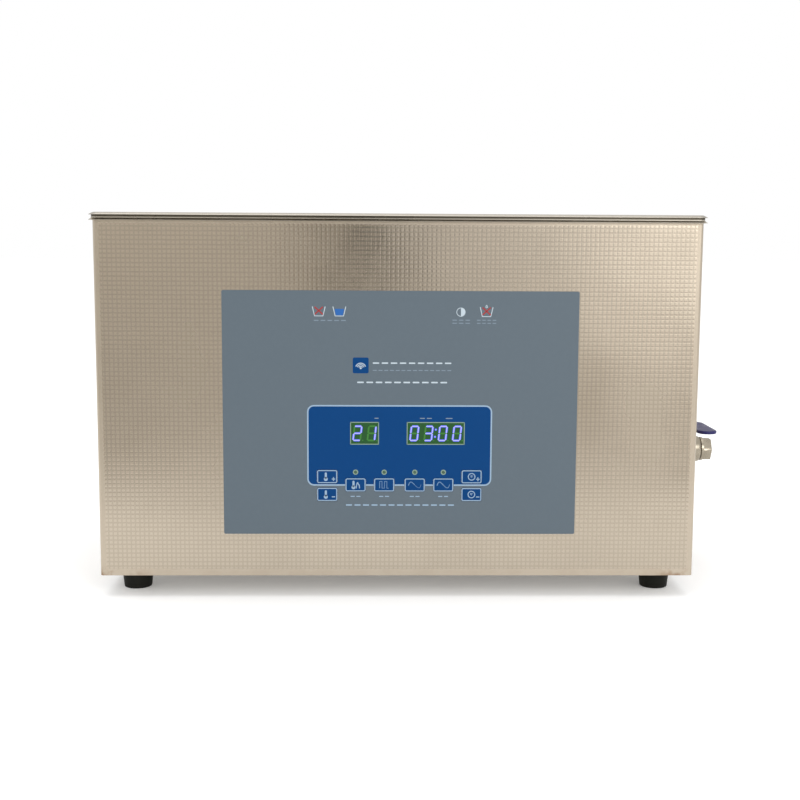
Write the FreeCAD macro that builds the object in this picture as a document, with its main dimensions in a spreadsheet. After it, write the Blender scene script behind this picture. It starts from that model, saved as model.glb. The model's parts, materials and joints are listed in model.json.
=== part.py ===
import math
import os
import re

import FreeCAD
import Part
import Sketcher
from FreeCAD import Placement, Rotation, Vector

# Bench-top ultrasonic cleaner: a steel tank in a steel casing, with a lift-off lid, a front
# control panel, ten transducers under the tank and a drain valve on the right-hand side.
# X runs across the front, +Y to the back, +Z up. The origin is on the bench, under the middle
# of the whole machine with its valve and handles, so the casing's middle lies at unit_x.
SIZES = {
    # casing
    "unit_x": -21, "case_w": 530, "case_d": 330, "case_high": 317.5, "foot_high": 20,
    "sheet": 1, "bend_rad": 3, "back_lap": 14, "part_gap": 0.3,
    "foot_x": 239, "foot_y": 125, "foot_top_rad": 14.75, "foot_low_rad": 12.5,
    # tank and lid
    "tank_w": 500, "tank_d": 300, "tank_deep": 200, "mouth_rad": 0.5, "frame_rad": 17,
    "rim_w": 537.5, "rim_d": 337.5, "rim_rad": 8, "rim_step": 2.6, "lip_fall": 2, "lip_out": 2.25,
    "lip_edge": 0.3,
    "lid_high": 2.2, "lid_slope": 3.8, "lid_hem": 4.5, "frame_gap": 3, "frame_deep": 10,
    # front panel, measured from the casing's middle and its bottom edge
    "face_x": 1, "overlay_w": 312, "overlay_h": 216, "overlay_z": 146.2, "overlay_thick": 1,
    "key_w": 18, "key_h": 12, "key_rad": 1.5, "key_gap": 0.2, "key_z": 82.6, "key_pitch": 25.35,
    "key_mid": 27.1, "side_key_x": 64, "side_key_high": 90, "side_key_low": 74,
    "key_proud": 0.3, "key_back": 0.5, "plunger_rad": 2.5, "key_travel": 0.4,
    "screen_z": 128.8, "screen_h": 20.2, "temp_x": -31, "temp_w": 25.4, "time_x": 31.8,
    "time_w": 51.2, "led_z": 94, "led_rad": 1.9, "board_gap": 6, "board_thick": 1.6,
    "board_w": 160, "board_h": 80, "board_z": 104, "switch_side": 6,
    # transducers
    "horn_pitch": 90, "horn_y": 75, "horn_rad": 29.5, "horn_low_rad": 23, "horn_high": 28,
    "piezo_rad": 22.5, "piezo_thick": 5, "mass_high": 16, "bolt_rad": 5, "bolt_head": 6,
    # drain
    "drain_x": 215, "drain_rad": 6, "pipe_z": 88.5, "pipe_rad": 8, "pipe_bore": 5, "stem_x": 297.5,
    "outlet_x": 321, "outlet_flats": 21, "outlet_long": 8.3, "thread_rad": 7.5,
    "thread_long": 10, "ball_rad": 8, "ball_bore": 4.5, "stem_rad": 3, "run_gap": 0.05,
    "lever_z": 117.4, "lever_long": 85, "lever_w": 18.4, "strip_thick": 1.6, "sleeve_thick": 3.2,
    # carrying handles
    "handle_z": 262, "plate_w": 140, "plate_h": 40, "plate_thick": 2, "handle_reach": 14,
    "bail_rad": 3.5, "bail_half": 40, "bail_drop": 44, "bail_bend": 12, "ear_y": 52,
    # rear
    "fan_x": -120, "fan_z": 56, "fan_side": 60, "fan_thick": 25, "fan_hole": 28,
    "fan_screw": 25, "guard_thick": 1.6, "inlet_x": 150, "inlet_z": 60, "flange_w": 50, "flange_h": 66,
    "socket_w": 25, "socket_h": 17, "socket_deep": 20,
}

doc = FreeCAD.newDocument("ultrasonic_cleaner")
sheet = doc.addObject("Spreadsheet::Sheet", "dims")
for row, (alias, value) in enumerate(SIZES.items(), start=1):
    sheet.set(f"A{row}", alias)
    sheet.set(f"B{row}", str(value))
    sheet.setAlias(f"B{row}", alias)
doc.recompute()

NODES = []                      # the finished sub-parts, one STEP file each
TURNS = {
    "+z": Rotation(), "-z": Rotation(Vector(1, 0, 0), 180),
    "+x": Rotation(Vector(0, 1, 0), 90), "-x": Rotation(Vector(0, 1, 0), -90),
    "+y": Rotation(Vector(1, 0, 0), -90), "-y": Rotation(Vector(1, 0, 0), 90),
}


# ---- helpers -------------------------------------------------------------------------------
def bound(words):
    """Turn the aliases in an expression into references to the sheet."""
    return re.sub(r"[a-z]\w*", lambda m: "dims." + m[0] if m[0] in SIZES else m[0], str(words))


def bind(item, **sizes):
    for path, words in sizes.items():
        item.setExpression(path.replace("__", "."), bound(words))


def place(item, at, turn=None):
    """Put an object at an (x, y, z) of expressions, with its own +Z turned to a direction."""
    item.Placement = Placement(Vector(), turn or Rotation())
    bind(item, Placement__Base__x=at[0], Placement__Base__y=at[1], Placement__Base__z=at[2])
    return item


def keep(item):
    """Mark an object as a finished sub-part."""
    NODES.append(item)
    return item


def block(name, middle, low, size):
    """A box centred on (x, y) of middle, standing on the height low."""
    box = doc.addObject("Part::Box", name)
    bind(box, Length=size[0], Width=size[1], Height=size[2])
    corner = [f"({middle[i]}) - ({size[i]}) / 2" for i in (0, 1)]
    return place(box, (corner[0], corner[1], low))


def rod(name, at, way, radius, length):
    item = doc.addObject("Part::Cylinder", name)
    bind(item, Radius=radius, Height=length)
    return place(item, at, TURNS[way])


def cone(name, at, way, first, last, length):
    item = doc.addObject("Part::Cone", name)
    bind(item, Radius1=first, Radius2=last, Height=length)
    return place(item, at, TURNS[way])


def hexagon(name, at, way, flats, length, spin=0):
    """A hexagonal bar, by its width across flats."""
    item = doc.addObject("Part::Prism", name)
    item.Polygon = 6
    bind(item, Circumradius=f"({flats}) / sqrt(3)", Height=length)
    return place(item, at, TURNS[way] * Rotation(Vector(0, 0, 1), spin))


def fuse(name, parts):
    item = doc.addObject("Part::MultiFuse", name)
    item.Shapes = parts
    return item


def cut(name, base, tools):
    """Base less every tool."""
    for number, tool in enumerate(tools):
        last = number == len(tools) - 1
        item = doc.addObject("Part::Cut", name if last else f"{name}_cut{number}")
        item.Base = base
        item.Tool = tool
        base = item
    return base


def group(name, parts):
    item = doc.addObject("Part::Compound", name)
    item.Links = parts
    return item


def ring(name, at, way, outer, inner, length):
    body = rod(name + "_outer", at, way, outer, length)
    return cut(name, body, [rod(name + "_bore", at, way, inner, length)])


def screw(name, at, way, head_rad, head_high, shank_rad, shank_long):
    """A pan-head screw: at is under its head, and its shank goes along way."""
    opposite = ("-" if way[0] == "+" else "+") + way[1]
    head = rod(name + "_head", at, opposite, head_rad, head_high)
    return fuse(name, [head, rod(name + "_shank", at, way, shank_rad, shank_long)])


def sketch_on(body, role, lift="0"):
    """A sketch on one of a body's own origin planes, lifted along that plane's normal."""
    plane = next(item for item in body.Origin.OriginFeatures if item.Role == role)
    sketch = body.newObject("Sketcher::SketchObject", body.Name + "_sketch")
    sketch.AttachmentSupport = [(plane, "")]
    sketch.MapMode = "FlatFace"
    bind(sketch, AttachmentOffset__Base__z=lift)
    return sketch


def size_rule(sketch, name, words, *rule):
    """A constraint that carries a name and a value from the sheet."""
    number = sketch.addConstraint(Sketcher.Constraint(*rule))
    sketch.renameConstraint(number, name)
    sketch.setExpression("Constraints." + name, bound(words))


def rounded(sketch, wide, high, corner, x="0", y="0"):
    """A rectangle with round corners, centred on (x, y)."""
    w, h, r = 100.0, 80.0, 10.0             # only where the solver starts from
    first = sketch.GeometryCount

    def line(x1, y1, x2, y2):
        return Part.LineSegment(Vector(x1, y1, 0), Vector(x2, y2, 0))

    def arc(cx, cy, start):
        circle = Part.Circle(Vector(cx, cy, 0), Vector(0, 0, 1), r)
        return Part.ArcOfCircle(circle, math.radians(start), math.radians(start + 90))

    edges = list(sketch.addGeometry([
        line(r - w / 2, -h / 2, w / 2 - r, -h / 2), arc(w / 2 - r, r - h / 2, 270),
        line(w / 2, r - h / 2, w / 2, h / 2 - r), arc(w / 2 - r, h / 2 - r, 0),
        line(w / 2 - r, h / 2, r - w / 2, h / 2), arc(r - w / 2, h / 2 - r, 90),
        line(-w / 2, h / 2 - r, -w / 2, r - h / 2), arc(r - w / 2, r - h / 2, 180)]))
    rules = []
    for side in range(0, 8, 2):
        rules.append(Sketcher.Constraint("Tangent", edges[side], 2, edges[side + 1], 1))
        rules.append(Sketcher.Constraint("Tangent", edges[side - 1], 2, edges[side], 1))
        rules.append(Sketcher.Constraint("Vertical" if side % 4 else "Horizontal", edges[side]))
    for other in (3, 5, 7):
        rules.append(Sketcher.Constraint("Equal", edges[1], edges[other]))
    sketch.addConstraint(rules)
    size_rule(sketch, f"corner{first}", corner, "Radius", edges[1], r)
    size_rule(sketch, f"wide{first}", wide, "DistanceX", edges[6], 1, edges[2], 1, w)
    size_rule(sketch, f"high{first}", high, "DistanceY", edges[0], 1, edges[4], 1, h)
    size_rule(sketch, f"x{first}", f"({x}) + ({wide}) / 2", "DistanceX", -1, 1, edges[2], 1, w / 2)
    size_rule(sketch, f"y{first}", f"({y}) + ({high}) / 2", "DistanceY", -1, 1, edges[4], 1, h / 2)


def circle(sketch, radius, x="0", y="0"):
    """A circle about (x, y). The solver starts away from the axes, so both signs hold."""
    first = sketch.GeometryCount
    edge = sketch.addGeometry(Part.Circle(Vector(7, 7, 0), Vector(0, 0, 1), 3))
    size_rule(sketch, f"radius{first}", radius, "Radius", edge, 3)
    size_rule(sketch, f"x{first}", x, "DistanceX", -1, 1, edge, 3, 7)
    size_rule(sketch, f"y{first}", y, "DistanceY", -1, 1, edge, 3, 7)


def pad(body, sketch, length, reverse=False):
    feature = body.newObject("PartDesign::Pad", body.Name + "_pad")
    feature.Profile = sketch
    feature.Reversed = reverse
    bind(feature, Length=length)
    return feature


def pocket(body, sketch, length, reverse=False, both_ways=False):
    """Cut a sketch into a body, and check that it removed something."""
    doc.recompute()
    before = body.Shape.Volume
    feature = body.newObject("PartDesign::Pocket", body.Name + "_pocket")
    feature.Profile = sketch
    feature.Reversed = reverse
    feature.Midplane = both_ways
    bind(feature, Length=length)
    doc.recompute()
    if body.Shape.Volume >= before - 0.01:
        raise RuntimeError(body.Name + ": a pocket cuts nothing")
    return feature


def slope(body, lower, upper):
    """A solid with sloping sides between two outlines."""
    feature = body.newObject("PartDesign::AdditiveLoft", body.Name + "_slope")
    feature.Profile = lower
    feature.Sections = [upper]
    feature.Ruled = True


def new_body(name):
    return doc.addObject("PartDesign::Body", name)


def from_case(x):
    """An X counted from the casing's middle."""
    return f"unit_x + ({x})"


DECK = "foot_high + case_high + sheet"              # top of the tank's rim, where the lid lies
TANK_UNDER = f"{DECK} - tank_deep - sheet"          # underside of the tank's floor
FRONT = "-case_d / 2"
BACK = "case_d / 2"
SIDES = {"left": -1, "right": 1}


# ---- casing --------------------------------------------------------------------------------
KEY_SPOTS = {
    "key_heating": ("-key_mid / 2 - key_pitch", "key_z"),
    "key_pulse": ("-key_mid / 2", "key_z"),
    "key_half_power": ("key_mid / 2", "key_z"),
    "key_full_power": ("key_mid / 2 + key_pitch", "key_z"),
    "key_warmer": ("-side_key_x", "side_key_high"),
    "key_cooler": ("-side_key_x", "side_key_low"),
    "key_longer": ("side_key_x", "side_key_high"),
    "key_shorter": ("side_key_x", "side_key_low"),
}
LED_SPOTS = [KEY_SPOTS[key][0] for key in list(KEY_SPOTS)[:4]]
SCREENS = {"temp": ("temp_x", "temp_w"), "time": ("time_x", "time_w")}
LAP_SCREWS = [(side, height) for side in (-1, 1) for height in (40, 160, 280)]
LAP_X = "(case_w / 2 - back_lap / 2)"
CORNERS = [(along, up) for along in (-1, 1) for up in (-1, 1)]
RIVET_Y = "(plate_w / 2 - 7)"
RIVET_UP = "(plate_h / 2 - 7)"


def casing_wrap():
    """Front and two sides bent from one sheet, with a narrow lap round each back corner."""
    body = new_body("casing_wrap")
    outline = sketch_on(body, "XY_Plane")
    rounded(outline, "case_w", "case_d", "bend_rad")
    pad(body, outline, "case_high")
    inside = sketch_on(body, "XY_Plane", "case_high")
    rounded(inside, "case_w - 2 * sheet", "case_d - 2 * sheet", "bend_rad - sheet")
    pocket(body, inside, "case_high")
    back = sketch_on(body, "XZ_Plane", "-case_d / 2")
    rounded(back, "case_w - 2 * back_lap", "case_high + 20", "1", "0", "case_high / 2")
    pocket(body, back, "2 * sheet", reverse=True)
    laps = sketch_on(body, "XZ_Plane", "-case_d / 2")
    for side, height in LAP_SCREWS:
        circle(laps, "2.1", f"{side} * {LAP_X}", height)
    pocket(body, laps, "2 * sheet", reverse=True)
    holes = sketch_on(body, "XZ_Plane", "case_d / 2")
    for x, wide in SCREENS.values():
        rounded(holes, f"{wide} + 0.6", "screen_h + 0.6", "1", f"face_x + {x}", "screen_z")
    for x, height in KEY_SPOTS.values():
        circle(holes, "plunger_rad + 0.5", f"face_x + ({x})", height)
    for x in LED_SPOTS:
        circle(holes, "led_rad + 0.5", f"face_x + ({x})", "led_z")
    pocket(body, holes, "2 * sheet")
    rivets = sketch_on(body, "YZ_Plane")
    for along, up in CORNERS:
        circle(rivets, "2", f"{along} * {RIVET_Y}", f"handle_z - foot_high + {up} * {RIVET_UP}")
    pocket(body, rivets, "case_w + 10", both_ways=True)
    drain = sketch_on(body, "YZ_Plane", "case_w / 2")
    circle(drain, "pipe_rad + 0.5", "0", "pipe_z")
    pocket(body, drain, "2 * sheet")
    return keep(place(body, ("unit_x", "0", "foot_high")))


def rear_panel():
    """A flat sheet behind the laps, with cut-outs for the fan and the mains inlet."""
    body = new_body("rear_panel")
    outline = sketch_on(body, "XZ_Plane")
    rounded(outline, "case_w - 2 * bend_rad - 2 * part_gap", "case_high - 2 * part_gap", "2", "0",
            "case_high / 2")
    pad(body, outline, "sheet", reverse=True)
    holes = sketch_on(body, "XZ_Plane")
    circle(holes, "fan_hole", "fan_x", "fan_z")
    for along, up in CORNERS:
        circle(holes, "2.1", f"fan_x + {along} * fan_screw", f"fan_z + {up} * fan_screw")
    for side, height in LAP_SCREWS:
        circle(holes, "2.1", f"{side} * {LAP_X}", height)
    rounded(holes, "flange_w - 4 + 0.2", "flange_h - 4 + 0.2", "0.1", "inlet_x", "inlet_z")
    pocket(body, holes, "sheet")
    return keep(place(body, ("unit_x", "case_d / 2 - 2 * sheet", "foot_high")))


def base_plate():
    """The floor of the casing, with turned-up edges, foot-screw holes and air slots."""
    body = new_body("base_plate")
    wide = "case_w - 2 * sheet - 2 * part_gap"
    deep = "case_d - 3 * sheet - 3 * part_gap"
    outline = sketch_on(body, "XY_Plane")
    rounded(outline, wide, deep, "2")
    pad(body, outline, "12")
    inside = sketch_on(body, "XY_Plane", "12")
    rounded(inside, f"{wide} - 2 * sheet", f"{deep} - 2 * sheet", "1")
    pocket(body, inside, "12 - sheet")
    holes = sketch_on(body, "XY_Plane")
    for x, y in CORNERS:
        circle(holes, "2.6", f"{x} * foot_x", f"{y} * foot_y + (sheet + part_gap) / 2")
    for number in range(9):
        rounded(holes, "5", "70", "2.4", f"60 + {number} * 14", "0")
    pocket(body, holes, "2 * sheet", reverse=True)
    return keep(place(body, ("unit_x", "-(sheet + part_gap) / 2", "foot_high")))


def feet():
    """Four tapered rubber feet, each held up into the base plate by one screw."""
    rubber, screws = [], []
    for number, (x, y) in enumerate(CORNERS):
        spot = (from_case(f"{x} * foot_x"), f"{y} * foot_y")
        taper = cone(f"foot_{number}_taper", (*spot, "0"), "+z", "foot_low_rad", "foot_top_rad",
                     "foot_high")
        recess = rod(f"foot_{number}_recess", (*spot, "0"), "+z", "6", "foot_high - 6")
        hole = rod(f"foot_{number}_hole", (*spot, "0"), "+z", "2.6", "foot_high")
        rubber.append(cut(f"foot_{number}", taper, [recess, hole]))
        screws.append(screw(f"foot_screw_{number}", (*spot, "foot_high - 6"), "+z", "4.5", "3",
                            "2.5", "14"))
    keep(group("rubber_feet", rubber))
    keep(group("foot_screws", screws))


def rear_screws():
    screws = []
    for number, (side, height) in enumerate(LAP_SCREWS):
        spot = (from_case(f"{side} * {LAP_X}"), BACK, f"foot_high + {height}")
        screws.append(screw(f"lap_screw_{number}", spot, "-y", "3.6", "2", "1.95", "7"))
    keep(group("casing_screws", screws))


# ---- tank and lid --------------------------------------------------------------------------
def tank():
    """A bath of five welded plates under a stepped rim with a sloping lip."""
    rim = new_body("tank_rim")
    lip = sketch_on(rim, "XY_Plane")
    rounded(lip, "rim_w", "rim_d", "rim_rad")
    pad(rim, lip, "lip_edge")
    low = sketch_on(rim, "XY_Plane", "lip_edge")
    rounded(low, "rim_w", "rim_d", "rim_rad")
    high = sketch_on(rim, "XY_Plane", "lip_fall")
    rounded(high, "rim_w - 2 * lip_out", "rim_d - 2 * lip_out", "rim_rad - lip_out")
    slope(rim, low, high)
    step = sketch_on(rim, "XY_Plane")
    rounded(step, "rim_w - 2 * lip_out", "rim_d - 2 * lip_out", "rim_rad - lip_out")
    pad(rim, step, "lip_fall + rim_step")
    under = sketch_on(rim, "XY_Plane")
    rounded(under, "case_w + 1", "case_d + 1", "bend_rad + 0.5")
    pocket(rim, under, "lip_fall + rim_step - sheet", reverse=True)
    mouth = sketch_on(rim, "XY_Plane")
    rounded(mouth, "tank_w", "tank_d", "mouth_rad")
    pocket(rim, mouth, "lip_fall + rim_step", reverse=True)
    place(rim, ("unit_x", "0", f"{DECK} - lip_fall - rim_step"))
    floor = block("tank_floor_blank", ("unit_x", "0"), TANK_UNDER,
                  ("tank_w + 2 * sheet", "tank_d + 2 * sheet", "sheet"))
    hole = rod("tank_drain_hole", (from_case("drain_x"), "0", f"{TANK_UNDER} - sheet"), "+z",
               "drain_rad", "3 * sheet")
    plates = [rim, cut("tank_floor", floor, [hole])]
    for number, side in enumerate((-1, 1)):
        plates.append(block(f"tank_end_{number}", (f"unit_x + {side} * (tank_w + sheet) / 2", "0"),
                            f"{TANK_UNDER} + sheet", ("sheet", "tank_d", "tank_deep - sheet")))
        plates.append(block(f"tank_long_{number}", ("unit_x", f"{side} * (tank_d + sheet) / 2"),
                            f"{TANK_UNDER} + sheet",
                            ("tank_w + 2 * sheet", "sheet", "tank_deep - sheet")))
    return keep(group("tank", plates))


def lid():
    """A shallow lift-off pan with a bevelled edge, and a frame that keeps it in the tank."""
    pan = new_body("lid_pan")
    outline = sketch_on(pan, "XY_Plane")
    rounded(outline, "rim_w", "rim_d", "rim_rad")
    pad(pan, outline, "lip_edge")
    low = sketch_on(pan, "XY_Plane", "lip_edge")
    rounded(low, "rim_w", "rim_d", "rim_rad")
    high = sketch_on(pan, "XY_Plane", "lid_high")
    rounded(high, "rim_w - 2 * lid_slope", "rim_d - 2 * lid_slope", "rim_rad - lid_slope")
    slope(pan, low, high)
    under = sketch_on(pan, "XY_Plane")
    rounded(under, "rim_w - 2 * lid_hem", "rim_d - 2 * lid_hem", "rim_rad - lid_hem")
    pocket(pan, under, "lid_high - sheet", reverse=True)
    keep(place(pan, ("unit_x", "0", DECK)))
    frame = new_body("lid_locating_frame")
    outside = sketch_on(frame, "XY_Plane")
    rounded(outside, "tank_w - 2 * frame_gap", "tank_d - 2 * frame_gap", "frame_rad")
    rounded(outside, "tank_w - 2 * frame_gap - 2 * sheet", "tank_d - 2 * frame_gap - 2 * sheet",
            "frame_rad - sheet")
    pad(frame, outside, "frame_deep + lid_high - sheet")
    return keep(place(frame, ("unit_x", "0", f"{DECK} - frame_deep")))


# ---- front panel ---------------------------------------------------------------------------
def control_overlay():
    """The face plate stuck on the front, open where the screens, lamps and keys are."""
    body = new_body("control_overlay")
    outline = sketch_on(body, "XZ_Plane")
    rounded(outline, "overlay_w", "overlay_h", "1.5", "0.5", "overlay_z")
    pad(body, outline, "overlay_thick")
    holes = sketch_on(body, "XZ_Plane", "overlay_thick")
    for x, wide in SCREENS.values():
        rounded(holes, wide, "screen_h", "0.8", x, "screen_z")
    for x, height in KEY_SPOTS.values():
        rounded(holes, "key_w + 2 * key_gap", "key_h + 2 * key_gap", "key_rad + key_gap", x, height)
    for x in LED_SPOTS:
        circle(holes, "led_rad + 0.35", x, "led_z")
    pocket(body, holes, "overlay_thick")
    return keep(place(body, ("unit_x + face_x", FRONT, "foot_high")))


def panel_key(name, x, height):
    """A thin key plate with a plunger that reaches back to its switch."""
    body = new_body(name)
    face = sketch_on(body, "XZ_Plane", "overlay_thick + key_proud")
    rounded(face, "key_w", "key_h", "key_rad")
    pad(body, face, "overlay_thick + key_proud - key_back", reverse=True)
    stalk = sketch_on(body, "XZ_Plane", "key_back")
    circle(stalk, "plunger_rad")
    pad(body, stalk, "key_back + sheet + board_gap - 3 - key_travel", reverse=True)
    return keep(place(body, (from_case(f"face_x + ({x})"), FRONT, f"foot_high + {height}")))


def screens():
    """Clear windows in the face plate, and the seven-segment modules behind them."""
    windows, modules = [], []
    for name, (x, wide) in SCREENS.items():
        spot = (from_case(f"face_x + {x}"), f"{FRONT} - overlay_thick / 2")
        low = "foot_high + screen_z - (screen_h - 0.2) / 2"
        windows.append(block(f"{name}_window", spot, low, (f"{wide} - 0.2", "overlay_thick",
                                                           "screen_h - 0.2")))
        deep = "sheet + board_gap - 0.1"
        middle = (spot[0], f"{FRONT} + 0.1 + ({deep}) / 2")
        modules.append(block(f"{name}_module", middle, f"{low} + 0.3", (f"{wide} - 1", deep,
                                                                        "screen_h - 0.8")))
    keep(group("display_windows", windows))
    keep(group("display_modules", modules))


def control_board():
    """The board behind the panel with its lamps, key switches and four studs."""
    depth = f"{FRONT} + sheet + board_gap"
    middle = (from_case("face_x"), f"{depth} + board_thick / 2")
    keep(block("control_board", middle, "foot_high + board_z - board_h / 2",
               ("board_w", "board_thick", "board_h")))
    lamps, switches, studs = [], [], []
    for number, x in enumerate(LED_SPOTS):
        spot = from_case(f"face_x + ({x})")
        lamps.append(rod(f"lamp_{number}", (spot, depth, "foot_high + led_z"), "-y", "led_rad",
                         "sheet + board_gap + 0.7"))
    for number, (x, height) in enumerate(KEY_SPOTS.values()):
        spot = (from_case(f"face_x + ({x})"), f"{depth} - 1.5")
        switches.append(block(f"switch_{number}", spot, f"foot_high + {height} - switch_side / 2",
                              ("switch_side", "3", "switch_side")))
    for number, (along, up) in enumerate(CORNERS):
        spot = (from_case(f"face_x + {along} * (board_w / 2 - 6)"), depth,
                f"foot_high + board_z + {up} * (board_h / 2 - 6)")
        studs.append(rod(f"stud_{number}", spot, "-y", "3", "board_gap"))
    keep(group("status_lamps", lamps))
    keep(group("key_switches", switches))
    return studs


# ---- under the tank ------------------------------------------------------------------------
def transducers():
    """Ten bolted sandwiches, two rows of five, bonded under the tank's floor."""
    horns, rings, masses, bolts = [], [], [], []
    spots = [(column, row) for row in (-1, 1) for column in range(-2, 3)]
    ring_top = f"{TANK_UNDER} - horn_high"
    mass_top = f"{ring_top} - 2 * piezo_thick"
    bolt_top = f"{mass_top} - mass_high"
    for number, (column, row) in enumerate(spots):
        x, y = from_case(f"{column} * horn_pitch"), f"{row} * horn_y"
        horn = cone(f"horn_{number}_taper", (x, y, ring_top), "+z", "horn_low_rad", "horn_rad",
                    "horn_high")
        hole = rod(f"horn_{number}_hole", (x, y, ring_top), "+z", "bolt_rad + 0.05", "14")
        horns.append(cut(f"horn_{number}", horn, [hole]))
        for layer in (1, 2):
            low = f"{ring_top} - {layer} * piezo_thick"
            rings.append(ring(f"piezo_{number}_{layer}", (x, y, low), "+z", "piezo_rad", "7.5",
                              "piezo_thick"))
        masses.append(ring(f"mass_{number}", (x, y, bolt_top), "+z", "piezo_rad", "bolt_rad + 0.1",
                           "mass_high"))
        head = hexagon(f"bolt_{number}_head", (x, y, f"{bolt_top} - bolt_head"), "+z", "16",
                       "bolt_head")
        shank = rod(f"bolt_{number}_shank", (x, y, bolt_top), "+z", "bolt_rad",
                    "mass_high + 2 * piezo_thick + 13")
        bolts.append(fuse(f"bolt_{number}", [head, shank]))
    for name, parts in (("transducer_horns", horns), ("piezo_rings", rings),
                        ("transducer_masses", masses), ("transducer_bolts", bolts)):
        keep(group(name, parts))


def heating():
    """Flat heater pads on three tank walls, and two discs under the tank's floor."""
    low, high = "foot_high + 145", "100"
    side_x = "tank_w / 2 + sheet + 1"
    pads = [block("rear_pad", ("unit_x", "tank_d / 2 + sheet + 1"), low, ("400", "2", high))]
    for name, way in SIDES.items():
        pads.append(block(f"{name}_pad", (from_case(f"{way} * ({side_x})"), "0"), low,
                          ("2", "220", high)))
    keep(group("heater_pads", pads))
    keep(rod("temperature_sensor", (from_case("45"), "0", TANK_UNDER), "-z", "6", "8"))
    keep(rod("thermal_cutout", (from_case("-45"), "0", TANK_UNDER), "-z", "8", "12"))


def generator(studs):
    """The power board on its standoffs, with heat sinks, transformer and capacitors."""
    stand, top = "10", "foot_high + sheet + 10 + board_thick"
    middle = (from_case("-90"), "-10")
    keep(block("generator_board", middle, f"foot_high + sheet + {stand}",
               ("220", "120", "board_thick")))
    for number, (x, y) in enumerate(CORNERS):
        spot = (from_case(f"-90 + {x} * 102"), f"-10 + {y} * 52", "foot_high + sheet")
        studs.append(rod(f"standoff_{number}", spot, "+z", "3.5", stand))
    keep(group("board_standoffs", studs))
    sinks = []
    for number, x in enumerate((-165, -100)):
        fins = [block(f"sink_{number}_foot", (from_case(x), "-10"), top, ("40", "100", "4"))]
        for fin in range(7):
            spot = (from_case(f"{x} - 18 + {fin} * 6"), "-10")
            fins.append(block(f"sink_{number}_fin_{fin}", spot, f"{top} + 3", ("2", "100", "25")))
        sinks.append(fuse(f"sink_{number}", fins))
    keep(group("heat_sinks", sinks))
    core = block("transformer_core", (from_case("-40"), "20"), top, ("42", "34", "34"))
    spool = rod("transformer_spool", (from_case("-40"), "-6", f"{top} + 17"), "+y", "15", "52")
    keep(fuse("output_transformer", [core, spool]))
    cans = []
    for number in range(3):
        spot = (from_case(f"-66 + {number} * 26"), "-45", top)
        cans.append(rod(f"can_{number}", spot, "+z", "11", "32"))
    keep(group("capacitors", cans))


# ---- drain ---------------------------------------------------------------------------------
AXIS_Z = "foot_high + pipe_z"
LEVER_Z = "foot_high + lever_z"


def drain_pipe():
    """An outlet under the tank's floor that turns to the side wall and is nutted there."""
    corner = (from_case("drain_x"), "0", f"{AXIS_Z} - 11")
    drop = f"{TANK_UNDER} - ({AXIS_Z} - 11)"
    outside = rod("elbow_drop", corner, "+z", "11", drop)
    arm = rod("elbow_arm", (from_case("drain_x"), "0", AXIS_Z), "+x", "11", "22")
    down = rod("elbow_down_bore", (corner[0], "0", AXIS_Z), "+z", "6", drop)
    out = rod("elbow_out_bore", (corner[0], "0", AXIS_Z), "+x", "6", "12")
    seat = rod("elbow_seat", (from_case("drain_x + 11"), "0", AXIS_Z), "+x", "pipe_rad + 0.05", "11")
    keep(cut("drain_elbow", fuse("elbow_outside", [outside, arm]), [down, out, seat]))
    start = "drain_x + 11"
    keep(ring("drain_pipe", (from_case(start), "0", AXIS_Z), "+x", "pipe_rad", "pipe_bore",
              f"280 - ({start})"))
    nuts = []
    for name, x in (("inner", "case_w / 2 - sheet - 6"), ("outer", "case_w / 2")):
        spot = (from_case(x), "0", AXIS_Z)
        nut = hexagon(f"{name}_nut_body", spot, "+x", "24", "6")
        bore = rod(f"{name}_nut_bore", spot, "+x", "pipe_rad + 0.05", "6")
        nuts.append(cut(f"{name}_nut", nut, [bore]))
    keep(group("bulkhead_nuts", nuts))


def along(x):
    """A point on the valve's axis."""
    return (from_case(x), "0", AXIS_Z)


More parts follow.
